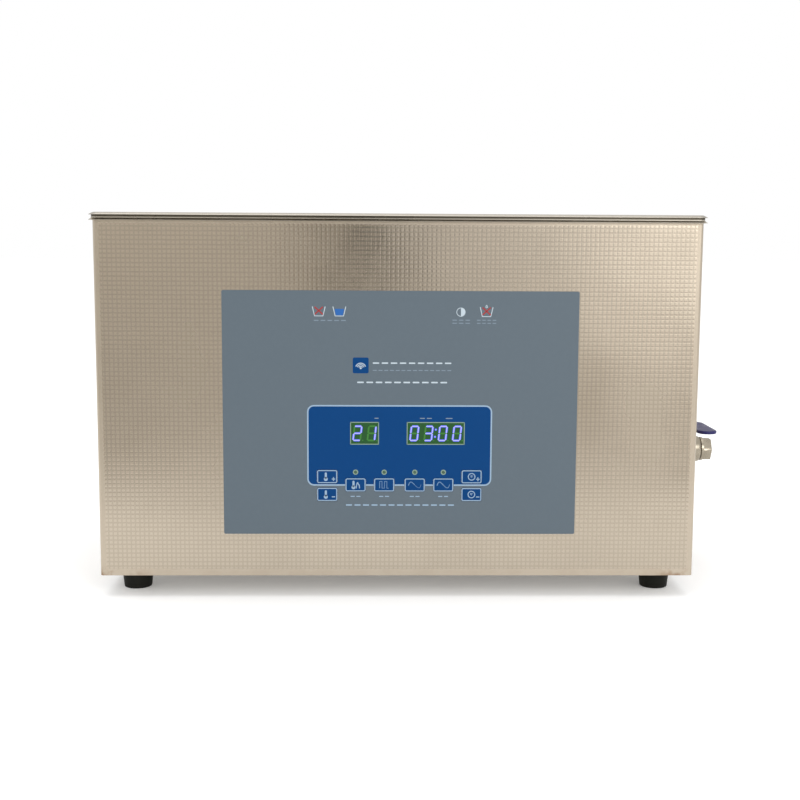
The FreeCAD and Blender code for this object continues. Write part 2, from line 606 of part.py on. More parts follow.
def drain_valve():
    """A small ball valve, closed at rest: its lever points to the front, across the pipe."""
    inlet = hexagon("valve_inlet", along("271"), "+x", "24", "12", 30)
    barrel = rod("valve_barrel", along("283"), "+x", "13", "27")
    neck = rod("valve_neck", (from_case("stem_x"), "0", AXIS_Z), "+z", "7", "18.5")
    tools = [
        rod("valve_pipe_seat", along("271"), "+x", "pipe_rad + 0.05", "9"),
        rod("valve_throat", along("279"), "+x", "pipe_bore", "10"),
        rod("valve_chamber", along("stem_x - 10"), "+x", "8.5", "30"),
        rod("valve_stem_hole", (from_case("stem_x"), "0", AXIS_Z), "+z", "stem_rad + run_gap", "20"),
    ]
    keep(cut("valve_body", fuse("valve_outside", [inlet, barrel, neck]), tools))
    shoulder = rod("outlet_shoulder", along("310"), "+x", "12", "outlet_x - outlet_long - 310")
    plug = rod("outlet_plug", along("stem_x + 10"), "+x", "8.4", "310 - stem_x - 10")
    tip = hexagon("outlet_hex", along("outlet_x - outlet_long"), "+x", "outlet_flats",
                  "outlet_long")
    bores = [rod("outlet_throat", along("stem_x + 5"), "+x", "pipe_bore", "20"),
             rod("outlet_thread", along("outlet_x - thread_long"), "+x", "thread_rad",
                 "thread_long")]
    keep(cut("valve_outlet", fuse("outlet_outside", [shoulder, plug, tip]), bores))
    seats = []
    for name, way in SIDES.items():
        start = f"stem_x + {way} * 9.9" if way < 0 else "stem_x + 5.9"
        blank = ring(f"{name}_seat_ring", along(start), "+x", "8.4", "pipe_bore", "4")
        hollow = doc.addObject("Part::Sphere", f"{name}_seat_hollow")
        bind(hollow, Radius="ball_rad + run_gap")
        seats.append(cut(f"{name}_seat", blank, [place(hollow, along("stem_x"))]))
    keep(group("valve_seats", seats))
    sphere = doc.addObject("Part::Sphere", "ball_blank")
    bind(sphere, Radius="ball_rad")
    place(sphere, along("stem_x"))
    through = rod("ball_through", (from_case("stem_x"), "-ball_rad", AXIS_Z), "+y", "ball_bore",
                  "2 * ball_rad")
    slot = block("ball_slot", (from_case("stem_x"), "0"), f"{AXIS_Z} + 6.4", ("3", "20", "4"))
    keep(cut("valve_ball", sphere, [through, slot]))


def drain_lever():
    """The stem, its gland nut, and a steel lever in a blue sleeve, held on by a nut."""
    x = from_case("stem_x")
    tang = block("stem_tang", (x, "0"), f"{AXIS_Z} + 6.5", ("2.9", "5.6", "1.7"))
    shaft = rod("stem_shaft", (x, "0", f"{AXIS_Z} + 8.1"), "+z", "stem_rad",
                f"{LEVER_Z} - strip_thick / 2 - ({AXIS_Z} + 8.1)")
    thread = rod("stem_thread", (x, "0", f"{LEVER_Z} - strip_thick / 2"), "+z", "2.4",
                 "strip_thick + 6")
    keep(fuse("valve_stem", [tang, shaft, thread]))
    gland = (x, "0", f"{AXIS_Z} + 18.5")
    keep(cut("gland_nut", hexagon("gland_body", gland, "+z", "14", "5"),
             [rod("gland_bore", gland, "+z", "stem_rad + run_gap", "5")]))
    strip = new_body("drain_lever")
    flat = sketch_on(strip, "XY_Plane")
    rounded(flat, "lever_w - 4", "lever_long + 5", "lever_w / 2 - 2.01", "0",
            "10 - (lever_long + 5) / 2")
    pad(strip, flat, "strip_thick")
    eye = sketch_on(strip, "XY_Plane")
    circle(eye, "2.45")
    pocket(strip, eye, "strip_thick", reverse=True)
    keep(place(strip, (x, "0", f"{LEVER_Z} - strip_thick / 2")))
    sleeve = new_body("lever_sleeve")
    grip = sketch_on(sleeve, "XY_Plane")
    rounded(grip, "lever_w", "lever_long - 18", "lever_w / 2 - 0.01", "0",
            "-18 - (lever_long - 18) / 2")
    pad(sleeve, grip, "sleeve_thick")
    core = sketch_on(sleeve, "XY_Plane", "(sleeve_thick + strip_thick) / 2")
    rounded(core, "lever_w - 4", "lever_long + 5", "lever_w / 2 - 2.01", "0",
            "10 - (lever_long + 5) / 2")
    pocket(sleeve, core, "strip_thick")
    keep(place(sleeve, (x, "0", f"{LEVER_Z} - sleeve_thick / 2")))
    nut = (x, "0", f"{LEVER_Z} + strip_thick / 2")
    keep(cut("lever_nut", hexagon("lever_nut_body", nut, "+z", "9", "4"),
             [rod("lever_nut_bore", nut, "+z", "2.45", "4")]))


# ---- carrying handles ----------------------------------------------------------------------
def bail(name, way):
    """A round bar bent into a U, hanging from two ears by its turned-out ends."""
    x = from_case(f"{way} * (case_w / 2 + plate_thick + 6)")
    bend, low = "bail_bend", "handle_z - bail_drop"
    pieces = []
    for end in (-1, 1):
        shank = rod(f"{name}_end_{end}", (x, f"{end} * (bail_half + bail_rad - 0.5)", "handle_z"),
                    "+y" if end > 0 else "-y", "bail_rad", "ear_y + 6 - bail_half - bail_rad + 0.5")
        knee = doc.addObject("Part::Sphere", f"{name}_knee_{end}")
        bind(knee, Radius="bail_rad")
        place(knee, (x, f"{end} * bail_half", "handle_z"))
        stub = rod(f"{name}_stub_{end}", (x, f"{end} * bail_half", "handle_z"),
                   "+y" if end > 0 else "-y", "bail_rad", "bail_rad")
        leg = rod(f"{name}_leg_{end}", (x, f"{end} * bail_half", "handle_z"), "-z", "bail_rad",
                  f"bail_drop - {bend}")
        curve = doc.addObject("Part::Torus", f"{name}_curve_{end}")
        bind(curve, Radius1=bend, Radius2="bail_rad", Angle3="90")
        place(curve, (x, f"{end} * (bail_half - {bend})", f"{low} + {bend}"),
              Rotation(Vector(0, 1, 0), 90) * Rotation(Vector(0, 0, 1), 0 if end > 0 else -90))
        pieces += [shank, knee, stub, leg, curve]
    pieces.append(rod(f"{name}_grip", (x, f"-(bail_half - {bend})", low), "+y", "bail_rad",
                      f"2 * (bail_half - {bend})"))
    return keep(fuse(name, pieces))


def handles():
    plates, rivets = [], []
    for name, way in SIDES.items():
        wall = f"{way} * case_w / 2"
        sheet_x = from_case(f"{wall} + {way} * plate_thick / 2")
        plate = block(f"{name}_plate_sheet", (sheet_x, "0"), "handle_z - plate_h / 2",
                      ("plate_thick", "plate_w", "plate_h"))
        pivot_x = from_case(f"{wall} + {way} * (plate_thick + 6)")
        pieces, tools = [plate], []
        for end in (-1, 1):
            ear_x = from_case(f"{wall} + {way} * (plate_thick + handle_reach) / 2")
            pieces.append(block(f"{name}_ear_{end}", (ear_x, f"{end} * ear_y"), "handle_z - 6",
                                ("handle_reach - plate_thick", "8", "12")))
            tools.append(rod(f"{name}_eye_{end}", (pivot_x, f"{end} * ear_y - 5", "handle_z"), "+y",
                             "bail_rad + run_gap", "10"))
        for number, (along_y, up) in enumerate(CORNERS):
            spot = (f"{along_y} * {RIVET_Y}", f"handle_z + {up} * {RIVET_UP}")
            out, back = ("+x", "-x") if way > 0 else ("-x", "+x")
            tools.append(rod(f"{name}_rivet_hole_{number}", (from_case(wall), *spot), out, "2", "5"))
            head_x = from_case(f"{wall} + {way} * plate_thick")
            dome = screw(f"{name}_rivet_{number}", (head_x, *spot), back, "3.5", "1.5", "1.95",
                         "plate_thick + sheet + 1.5")
            rivets.append(dome)
        plates.append(cut(f"{name}_plate", fuse(f"{name}_plate_blank", pieces), tools))
        bail(f"{name}_bail", way)
    keep(group("handle_plates", plates))
    keep(group("handle_rivets", rivets))


# ---- rear ----------------------------------------------------------------------------------
FAN = (from_case("fan_x"), "foot_high + fan_z")
PANEL_IN = "case_d / 2 - 2 * sheet"
PANEL_OUT = "case_d / 2 - sheet"


def fan():
    """An axial fan behind a pressed guard: frame, rotor, guard and four screws."""
    x, z = FAN
    low = f"{z} - fan_side / 2"
    spot = (x, f"{PANEL_IN} - fan_thick / 2")
    shell = block("fan_shell", spot, low, ("fan_side", "fan_thick", "fan_side"))
    front = f"{PANEL_IN} - fan_thick"
    duct = rod("fan_duct", (x, front, z), "+y", "fan_hole", "fan_thick")
    holes = [rod(f"fan_screw_hole_{number}", (f"{x} + {a} * fan_screw", front,
                                              f"{z} + {b} * fan_screw"), "+y", "2.1", "fan_thick")
             for number, (a, b) in enumerate(CORNERS)]
    opened = cut("fan_opened", shell, [duct] + holes)
    hub = rod("fan_motor_cup", (x, front, z), "+y", "14", "5")
    axle = rod("fan_axle", (x, front, z), "+y", "1.5", "20")
    struts = [block(f"fan_strut_{n}", (x, f"{front} + 2"), f"{z} - {h} / 2", (w, "4", h))
              for n, (w, h) in enumerate((("58", "4"), ("4", "58")))]
    keep(fuse("fan_frame", [opened, hub, axle] + struts))
    rotor_y = f"{front} + 5.5"
    cup = ring("rotor_cup", (x, rotor_y, z), "+y", "13.5", "1.55", "16")
    blades = []
    for number in range(7):
        blade = doc.addObject("Part::Box", f"rotor_blade_{number}")
        bind(blade, Length="12.5", Width="1.2", Height="17")
        angle = 360 / 7 * number
        turn = (Rotation(Vector(0, 1, 0), angle) * Rotation(Vector(1, 0, 0), -90)
                * Rotation(Vector(1, 0, 0), 38))
        start = turn.multVec(Vector(12.8, 0, 0))
        blades.append(place(blade, (f"{x} + {start.x:.4f}", f"{rotor_y} + 2",
                                    f"{z} + {start.z:.4f}"), turn))
    keep(fuse("fan_rotor", [cup] + blades))
    bars = []
    for number, radius in enumerate((9, 17, 25)):
        bars.append(ring(f"guard_loop_{number}", (x, PANEL_OUT, z), "+y", f"{radius} + 1",
                         f"{radius} - 1", "guard_thick"))
    for number, angle in enumerate((45, 135)):
        turn = Rotation(Vector(0, 1, 0), angle)
        start = turn.multVec(Vector(-33, 0, -1))
        arm = doc.addObject("Part::Box", f"guard_arm_{number}")
        bind(arm, Length="66", Width="guard_thick", Height="2")
        bars.append(place(arm, (f"{x} + {start.x:.4f}", PANEL_OUT, f"{z} + {start.z:.4f}"), turn))
    lugs = [(f"{x} + {a} * fan_screw", PANEL_OUT, f"{z} + {b} * fan_screw") for a, b in CORNERS]
    for number, spot in enumerate(lugs):
        bars.append(rod(f"guard_lug_{number}", spot, "+y", "4", "guard_thick"))
    eyes = [rod(f"guard_eye_{number}", spot, "+y", "2.1", "3") for number, spot in enumerate(lugs)]
    keep(cut("fan_guard", fuse("guard_bars", bars), eyes))
    screws = [screw(f"fan_screw_{number}", (spot[0], f"{PANEL_OUT} + guard_thick", spot[2]), "-y", "3.5",
                    "1.8", "1.95", "12") for number, spot in enumerate(lugs)]
    keep(group("fan_screws", screws))


def mains_inlet():
    """One moulded module with the mains socket, a fuse drawer and the power rocker."""
    x, z = from_case("inlet_x"), "foot_high + inlet_z"
    flange = block("inlet_flange", (x, f"{PANEL_OUT} + 1.25"), f"{z} - flange_h / 2",
                   ("flange_w", "2.5", "flange_h"))
    shell = block("inlet_shell", (x, f"{PANEL_OUT} - 11.5"), f"{z} - flange_h / 2 + 2",
                  ("flange_w - 4", "23", "flange_h - 4"))
    mouth = f"{PANEL_OUT} + 2.5"
    socket_mid = f"{mouth} - socket_deep / 2"
    socket = block("inlet_socket", (x, socket_mid), f"{z} - 27", ("socket_w", "socket_deep",
                                                                "socket_h"))
    drawer_hole = block("inlet_drawer_hole", (x, socket_mid), f"{z} - 6", ("32", "socket_deep",
                                                                          "10"))
    rocker_hole = block("inlet_rocker_hole", (x, f"{mouth} - 8"), f"{z} + 9", ("27", "16", "19"))
    keep(cut("mains_inlet", fuse("inlet_blank", [flange, shell]),
             [socket, drawer_hole, rocker_hole]))
    pins = []
    for number, (across, up) in enumerate(((-7, -20.5), (7, -20.5), (0, -16.5))):
        spot = (f"{x} + {across}", f"{mouth} - socket_deep + 6")
        pins.append(block(f"pin_{number}", spot, f"{z} + {up} - 2", ("2", "14", "4")))
    keep(group("inlet_pins", pins))
    face = block("drawer_face", (x, f"{mouth} + 0.5"), f"{z} - 6.5", ("33", "1", "11"))
    tray = block("drawer_tray", (x, f"{mouth} - 8.9"), f"{z} - 5.9", ("31.8", "17.8", "9.8"))
    well = block("drawer_well", (x, f"{mouth} - 9.2"), f"{z} - 3", ("28", "13", "9"))
    keep(cut("fuse_drawer", fuse("drawer_blank", [face, tray]), [well]))
    glass = [rod(f"fuse_{number}", (f"{x} - 10", f"{mouth} - {depth}", f"{z} - 0.4"), "+x",
                 "2.5", "20") for number, depth in enumerate((5.6, 12))]
    keep(group("fuses", glass))
    rocker = doc.addObject("Part::Cylinder", "rocker_round")
    bind(rocker, Radius="11", Height="26.4")
    pivot = (f"{x} - 13.2", f"{mouth} - 6", f"{z} + 18.5")
    place(rocker, pivot, TURNS["+x"])
    window = block("rocker_window", (x, f"{mouth} - 1.6"), f"{z} + 10.7", ("26.4", "5.6", "15.6"))
    dish = rod("rocker_dish", (f"{x} - 20", f"{mouth} + 22.8", f"{z} + 18.5"), "+x", "23.2", "40")
    common = doc.addObject("Part::MultiCommon", "rocker_cap")
    common.Shapes = [rocker, window]
    hub = rod("rocker_hub", pivot, "+x", "2.2", "26.4")
    keep(cut("power_rocker", fuse("rocker_blank", [common, hub]), [dish]))


# ---- build, check and write ----------------------------------------------------------------
def build():
    casing_wrap()
    rear_panel()
    base_plate()
    feet()
    rear_screws()
    tank()
    lid()
    control_overlay()
    for name, (x, height) in KEY_SPOTS.items():
        panel_key(name, x, height)
    screens()
    studs = control_board()
    transducers()
    heating()
    generator(studs)
    drain_pipe()
    drain_valve()
    drain_lever()
    handles()
    fan()
    mains_inlet()


def check_and_write():
    doc.recompute()
    failed = [item.Name for item in doc.Objects if {"Invalid", "Error"} & set(item.State)]
    if failed:
        raise RuntimeError("not recomputed: " + ", ".join(failed))
    os.makedirs("parts", exist_ok=True)
    for node in NODES:
        shape = node.Shape
        if shape.isNull() or not shape.isValid() or not shape.Solids:
            raise RuntimeError("bad shape: " + node.Label)
    for node in NODES:
        node.Shape.exportStep(f"parts/{node.Label}.step")
        print(f"{node.Label:22s} {len(node.Shape.Solids):3d} {node.Shape.Volume:12.1f}")
    print(len(NODES), "nodes")


build()
check_and_write()
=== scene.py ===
import json
import math

import bmesh
import bpy
from mathutils import Matrix, Vector


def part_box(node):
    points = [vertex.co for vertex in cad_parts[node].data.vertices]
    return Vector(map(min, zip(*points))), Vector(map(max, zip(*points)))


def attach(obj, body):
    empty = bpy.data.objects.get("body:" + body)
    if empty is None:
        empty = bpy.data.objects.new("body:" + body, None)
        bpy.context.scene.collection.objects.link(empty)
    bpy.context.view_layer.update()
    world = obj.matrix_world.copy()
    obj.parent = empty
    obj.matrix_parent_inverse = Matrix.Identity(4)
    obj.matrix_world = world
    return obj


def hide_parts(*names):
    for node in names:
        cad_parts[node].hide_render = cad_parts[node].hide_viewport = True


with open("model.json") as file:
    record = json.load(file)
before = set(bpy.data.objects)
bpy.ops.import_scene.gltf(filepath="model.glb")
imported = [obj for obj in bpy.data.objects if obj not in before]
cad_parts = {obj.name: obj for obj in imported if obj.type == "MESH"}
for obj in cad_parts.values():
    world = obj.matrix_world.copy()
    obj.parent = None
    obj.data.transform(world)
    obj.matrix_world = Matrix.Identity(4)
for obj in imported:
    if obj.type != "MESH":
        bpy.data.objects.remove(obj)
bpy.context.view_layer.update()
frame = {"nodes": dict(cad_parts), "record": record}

# Sizes are in millimetres and become metres as each piece is finished.
MM = 0.001
MIDDLE = -21.0          # middle of the casing, across
WALL_FRONT = 165.0      # casing front, in front of the middle
WALL_SIDE = 265.0       # casing side, out from the casing's middle
FACE = 166.0            # face of the control panel film
KEY_FACE = 166.3        # face of the keys
PITCH = 3.95            # pitch of the embossed squares
INK = 0.05              # how far printing stands above its film
SKIN_BOTTOM = 24.0      # bottom of the embossing
SKIN_TOP = 333.4        # top of the embossing
SKIN_MIDDLE = (SKIN_BOTTOM + SKIN_TOP) / 2
LAMP_UP = 114.0         # middle of the status lamps
VALVE_UP = 108.5        # axis of the valve's bore
SPINDLE = 276.5         # axis of the valve's stem, across
ROOT = "root"

FRONT = Matrix.Rotation(math.pi / 2, 4, "X")
RIGHT = Matrix.Rotation(math.pi / 2, 4, "Z") @ FRONT
LEFT = Matrix.Rotation(-math.pi / 2, 4, "Z") @ FRONT


# ---------------------------------------------------------------- materials

class Finish:
    """A node material being put together round one Principled shader."""

    def __init__(self, name, colour, metallic=0.0, roughness=0.5, **sockets):
        self.material = bpy.data.materials.new(name)
        self.material.use_nodes = True
        self.tree = self.material.node_tree
        self.shader = self.tree.nodes["Principled BSDF"]
        self.set(self.shader, "Base Color", (*colour, 1.0))
        self.set(self.shader, "Metallic", metallic)
        self.set(self.shader, "Roughness", roughness)
        for socket, value in sockets.items():
            self.set(self.shader, socket.replace("_", " "), value)
        coordinates = self.tree.nodes.new("ShaderNodeTexCoord")
        self.place = coordinates.outputs["Object"]
        self.colour = colour

    @staticmethod
    def set(node, socket, value):
        node.inputs[socket].default_value = value

    def join(self, start, node, socket):
        self.tree.links.new(start, node.inputs[socket])

    def noise(self, scale, detail=3.0, stretch=(1.0, 1.0, 1.0), roughness=0.55):
        """Noise with features of about 1 / scale metres, drawn out where stretch is small."""
        mapping = self.tree.nodes.new("ShaderNodeMapping")
        self.set(mapping, "Scale", stretch)
        self.join(self.place, mapping, "Vector")
        texture = self.tree.nodes.new("ShaderNodeTexNoise")
        self.set(texture, "Scale", scale)
        self.set(texture, "Detail", detail)
        self.set(texture, "Roughness", roughness)
        self.join(mapping.outputs["Vector"], texture, "Vector")
        return texture.outputs["Fac"]

    def span(self, value, low, high, to_low=0.0, to_high=1.0, smooth=True):
        """The value carried from one range to another, held at the ends."""
        node = self.tree.nodes.new("ShaderNodeMapRange")
        node.interpolation_type = "SMOOTHSTEP" if smooth else "LINEAR"
        ends = {"From Min": low, "From Max": high, "To Min": to_low, "To Max": to_high}
        for socket, number in ends.items():
            self.set(node, socket, number)
        self.join(value, node, "Value")
        return node.outputs["Result"]

    def math(self, operation, first, second=None):
        node = self.tree.nodes.new("ShaderNodeMath")
        node.operation = operation
        for index, value in enumerate((first, second)):
            if value is None:
                continue
            if isinstance(value, (int, float)):
                node.inputs[index].default_value = value
            else:
                self.tree.links.new(value, node.inputs[index])
        return node.outputs["Value"]

    def axis(self, name):
        node = self.tree.nodes.new("ShaderNodeSeparateXYZ")
        self.join(self.place, node, "Vector")
        return node.outputs[name]

    def tint(self, amount, colour):
        """Paints the colour over what is there, by amount."""
        node = self.tree.nodes.new("ShaderNodeMix")
        node.data_type = "RGBA"
        base = self.shader.inputs["Base Color"]
        under, over = [socket for socket in node.inputs if socket.type == "RGBA"]
        if base.is_linked:
            self.tree.links.new(base.links[0].from_socket, under)
        else:
            under.default_value = base.default_value
        over.default_value = (*colour, 1.0)
        self.tree.links.new(amount, node.inputs["Factor"])
        result = [socket for socket in node.outputs if socket.type == "RGBA"][0]
        self.tree.links.new(result, base)
        return self

    def rough(self, value):
        self.join(value, self.shader, "Roughness")
        return self

    def bump(self, height, strength, distance=0.001):
        """Adds a height pattern on top of the ones already there."""
        node = self.tree.nodes.new("ShaderNodeBump")
        self.set(node, "Strength", strength)
        self.set(node, "Distance", distance)
        self.join(height, node, "Height")
        normal = self.shader.inputs["Normal"]
        if normal.is_linked:
            self.tree.links.new(normal.links[0].from_socket, node.inputs["Normal"])
        self.tree.links.new(node.outputs["Normal"], normal)
        return self


STEEL = (0.46, 0.425, 0.365)
WARM_STEEL = (0.470, 0.407, 0.325)


def brushed_metal(name, colour, roughness, grain=(1.0, 1.0, 0.02), scale=900.0, strength=0.12):
    """Sheet metal with a fine grain, cloudy roughness and faint marks from handling."""
    finish = Finish(name, colour, metallic=1.0, roughness=roughness)
    fine = finish.noise(scale, 2.0, grain)
    cloud = finish.noise(9.0, 4.0)
    finish.tint(finish.span(cloud, 0.42, 0.75, 0.0, 0.14), tuple(0.72 * part for part in colour))
    finish.rough(finish.span(cloud, 0.3, 0.7, roughness - 0.05, roughness + 0.08))
    finish.bump(fine, strength, 0.0004)
    return finish


def turned_metal(name, colour, roughness):
    """Machined or plated metal with a little mottling."""
    finish = Finish(name, colour, metallic=1.0, roughness=roughness)
    mottle = finish.noise(220.0, 4.0)
    finish.tint(finish.span(mottle, 0.5, 0.8, 0.0, 0.2), tuple(0.6 * part for part in colour))
    finish.rough(finish.span(mottle, 0.35, 0.7, roughness, roughness + 0.08))
    finish.bump(mottle, 0.02, 0.0004)
    return finish


def moulded(name, colour, roughness=0.45, grain=1400.0, strength=0.15, **sockets):
    """Moulded plastic, rubber or ceramic with a fine moulded grain."""
    finish = Finish(name, colour, roughness=roughness, **sockets)
    fine = finish.noise(grain, 2.0)
    cloud = finish.noise(40.0, 3.0)
    lighter = tuple(min(1.0, 1.35 * part + 0.006) for part in colour)
    finish.tint(finish.span(cloud, 0.4, 0.75, 0.0, 0.4), lighter)
    finish.rough(finish.span(cloud, 0.3, 0.7, roughness - 0.04, roughness + 0.08))
    finish.bump(fine, strength, 0.0003)
    return finish


def stained_edge(finish):
    """Brown stains along the bottom edge of the casing, heaviest at its corners."""
    height = finish.axis("Z")
    across = finish.math("ABSOLUTE", finish.math("SUBTRACT", finish.axis("X"), MIDDLE * MM))
    back = finish.math("ABSOLUTE", finish.axis("Y"))
    low = finish.span(height, 0.020, 0.030, 1.0, 0.0)
    corner = finish.math("MULTIPLY", finish.span(across, 0.215, 0.262, 0.10, 1.0),
                         finish.span(back, 0.12, 0.163, 0.10, 1.0))
    patchy = finish.span(finish.noise(70.0, 5.0), 0.40, 0.62)
    amount = finish.math("MULTIPLY", finish.math("MULTIPLY", low, corner), patchy)
    return finish.tint(finish.math("MULTIPLY", amount, 0.8), (0.20, 0.105, 0.045))


def rim_steel_painted_shade(name):
    """Tank steel with a dark line of painted shade in the step of the rim, under the lid's edge."""
    finish = brushed_metal(name, STEEL, 0.27, (0.1, 0.1, 1.0), 700.0, 0.02)
    height = finish.axis("Z")
    step = finish.math("MULTIPLY", finish.span(height, 0.3362, 0.3372),
                       finish.span(height, 0.3384, 0.3386, 1.0, 0.0))
    # Painted shade: the band of the rim's step under the lid's edge is tinted near-black brown.
    return finish.tint(finish.math("MULTIPLY", step, 0.9), (0.045, 0.036, 0.022))


def embossed_steel(name, across, start):
    """Satin sheet rolled with small squares; the grooves between them are a little darker, as painted
    shade.
    """
    finish = brushed_metal(name, WARM_STEEL, 0.21, scale=500.0, strength=0.03)
    squares = None
    for axis, groove in ((across, start), ("Z", SKIN_MIDDLE)):
        along = finish.math("SUBTRACT", finish.axis(axis), groove * MM)
        ridge = finish.math("PINGPONG", along, PITCH * MM / 2)
        ridge = finish.span(ridge, 0.0002, 0.0012)
        squares = ridge if squares is None else finish.math("MULTIPLY", squares, ridge)
    # Painted shade: the grooves between the squares are tinted darker.
    finish.tint(finish.span(squares, 0.0, 0.8, 0.36, 0.0), tuple(0.62 * part for part in WARM_STEEL))
    finish.bump(squares, 0.10, 0.0003)
    finish.bump(finish.noise(5.0, 2.0), 0.12, 0.02)
    return stained_edge(finish)


def film(name, colour, roughness=0.42, **sockets):
    """Matt printed film with a very fine even texture."""
    finish = Finish(name, colour, roughness=roughness, **sockets)
    cloud = finish.span(finish.noise(260.0, 4.0), 0.35, 0.75, 0.0, 0.10)
    finish.tint(cloud, tuple(1.25 * part for part in colour))
    finish.bump(finish.noise(2600.0, 2.0), 0.06, 0.0002)
    return finish


def lit(name, colour, strength):
    """The glow of a lit display segment."""
    unlit = tuple(0.1 * part for part in colour)
    finish = film(name, unlit, 0.5, Specular_IOR_Level=0.1)
    finish.set(finish.shader, "Emission Color", (*colour, 1.0))
    finish.set(finish.shader, "Emission Strength", strength)
    return finish


FINISHES = {
    "casing_steel": stained_edge(brushed_metal("satin_steel", WARM_STEEL, 0.34)),
    "front_squares": embossed_steel("embossed_steel_front", "X", MIDDLE),
    "side_squares": embossed_steel("embossed_steel_side", "Y", PITCH / 2),
    "tank_steel": rim_steel_painted_shade("drawn_steel"),
    "lid_steel": brushed_metal("lid_steel", (0.39, 0.36, 0.31), 0.30, (0.015, 1.0, 1.0), 900.0, 0.10),
    "screw_steel": turned_metal("screw_steel", (0.52, 0.51, 0.49), 0.28),
    "handle_chrome": turned_metal("handle_chrome", (0.66, 0.66, 0.66), 0.10),
    "valve_nickel": turned_metal("valve_nickel", (0.34, 0.30, 0.235), 0.26),
    "panel_grey": film("panel_grey", (0.090, 0.117, 0.140), 0.45, Specular_IOR_Level=0.25),
    "key_blue": film("key_blue", (0.0012, 0.041, 0.152), 0.45, Specular_IOR_Level=0.08),
    "window_green": film("window_green", (0.018, 0.075, 0.022), 0.2, Specular_IOR_Level=0.15),
    "segment_green": film("segment_green", (0.045, 0.17, 0.035), 0.3, Specular_IOR_Level=0.1),
    "segment_blue": lit("segment_blue", (0.10, 0.13, 0.95), 1.0),
    "segment_core": lit("segment_core", (0.48, 0.50, 1.0), 1.0),
    "module_black": moulded("module_black", (0.012, 0.012, 0.012), 0.4),
    "lamp_resin": moulded("lamp_resin", (0.030, 0.075, 0.045), 0.22),
    "lamp_ring": film("lamp_ring", (0.19, 0.27, 0.21), Specular_IOR_Level=0.2),
    "pale_ink": film("pale_ink", (0.25, 0.35, 0.46), Specular_IOR_Level=0.2),
    "faint_ink": film("faint_ink", (0.17, 0.22, 0.27), Specular_IOR_Level=0.2),
    "white_ink": film("white_ink", (0.42, 0.49, 0.54), Specular_IOR_Level=0.2),
    "dim_ink": film("dim_ink", (0.12, 0.21, 0.34), Specular_IOR_Level=0.2),
    "red_ink": film("red_ink", (0.30, 0.030, 0.030), Specular_IOR_Level=0.2),
    "water_ink": film("water_ink", (0.020, 0.105, 0.34), Specular_IOR_Level=0.2),
    "board_green": moulded("board_green", (0.010, 0.075, 0.028), 0.35),
    "switch_black": moulded("switch_black", (0.012, 0.012, 0.013), 0.38),
    "sink_aluminium": brushed_metal("sink_aluminium", (0.62, 0.63, 0.64), 0.33),
    "piezo_ceramic": moulded("piezo_ceramic", (0.50, 0.46, 0.36), 0.55),
    "mass_steel": turned_metal("mass_steel", (0.36, 0.35, 0.34), 0.36),
    "heater_silicone": moulded("heater_silicone", (0.36, 0.045, 0.016), 0.6, 600.0),
    "copper_winding": turned_metal("copper_winding", (0.62, 0.27, 0.11), 0.32),
    "foot_rubber": moulded("foot_rubber", (0.0110, 0.0112, 0.0085), 0.62, 900.0, 0.3,
                           Specular_IOR_Level=0.12),
    "seat_white": moulded("seat_white", (0.72, 0.72, 0.70), 0.42),
    "sleeve_blue": moulded("sleeve_blue", (0.020, 0.018, 0.095), 0.38, 1200.0, 0.1,
                           Specular_IOR_Level=0.25),
    "fan_black": moulded("fan_black", (0.012, 0.012, 0.013), 0.42),
    "inlet_black": moulded("inlet_black", (0.014, 0.014, 0.015), 0.36),
    "pin_brass": turned_metal("pin_brass", (0.62, 0.46, 0.20), 0.25),
    "fuse_glass": moulded("fuse_glass", (0.55, 0.60, 0.58), 0.08, 300.0, 0.02, Coat_Weight=0.8),
}


# ------------------------------------------------------------------- shapes

def joined(target, part, place=None):
    """Moves a shape to its place and adds it to the target."""
    if place is not None:
        bmesh.ops.transform(part, matrix=place, verts=part.verts)
    mesh = bpy.data.meshes.new("part")
    part.to_mesh(mesh)
    part.free()
    target.from_mesh(mesh)
    bpy.data.meshes.remove(mesh)
    return target


def thickened(bm, depth):
    """Gives flat faces their thickness, upwards, with every face outwards."""
    made = bmesh.ops.extrude_face_region(bm, geom=bm.faces[:])
    risen = [part for part in made["geom"] if isinstance(part, bmesh.types.BMVert)]
    bmesh.ops.translate(bm, vec=(0, 0, depth), verts=risen)
    bmesh.ops.recalc_face_normals(bm, faces=bm.faces[:])
    return bm


def softened(bm, width, segments=2, above=None, angle=40):
    """Rounds the sharp edges; above keeps to the edges over that height."""
    limit = math.radians(angle)
    edges = [
        edge for edge in bm.edges
        if len(edge.link_faces) == 2 and edge.calc_face_angle(0.0) > limit
        and (above is None or min(vert.co.z for vert in edge.verts) > above)
    ]
    bmesh.ops.bevel(bm, geom=edges, offset=width, offset_type="OFFSET", segments=segments,
                    profile=0.5, affect="EDGES", material=-1, clamp_overlap=True)
    return bm


def rectangle(width, height, radius=0.0, segments=5):
    """A flat rectangle with rounded corners."""
    bm = bmesh.new()
    bmesh.ops.create_grid(bm, x_segments=1, y_segments=1, size=0.5)
    bmesh.ops.scale(bm, vec=(width, height, 1), verts=bm.verts)
    if radius:
        bmesh.ops.bevel(bm, geom=bm.verts[:], offset=radius, offset_type="OFFSET", segments=segments,
                        profile=0.5, affect="VERTICES", material=-1, clamp_overlap=True)
    return bm


def slab(width, height, depth, radius=0.0, edge=0.0, segments=5):
    """A plate with rounded corners and, if asked, a soft front edge."""
    bm = thickened(rectangle(width, height, radius, segments), depth)
    return softened(bm, edge, 2, depth / 2) if edge else bm


def hollowed(bm, line, depth):
    """Leaves a border of a flat face, and gives it its thickness."""
    bmesh.ops.inset_region(bm, faces=bm.faces[:], thickness=line, use_even_offset=True,
                           use_boundary=True)
    middle = min(bm.faces, key=lambda face: face.calc_center_median().length)
    bmesh.ops.delete(bm, geom=[middle], context="FACES_ONLY")
    return thickened(bm, depth)


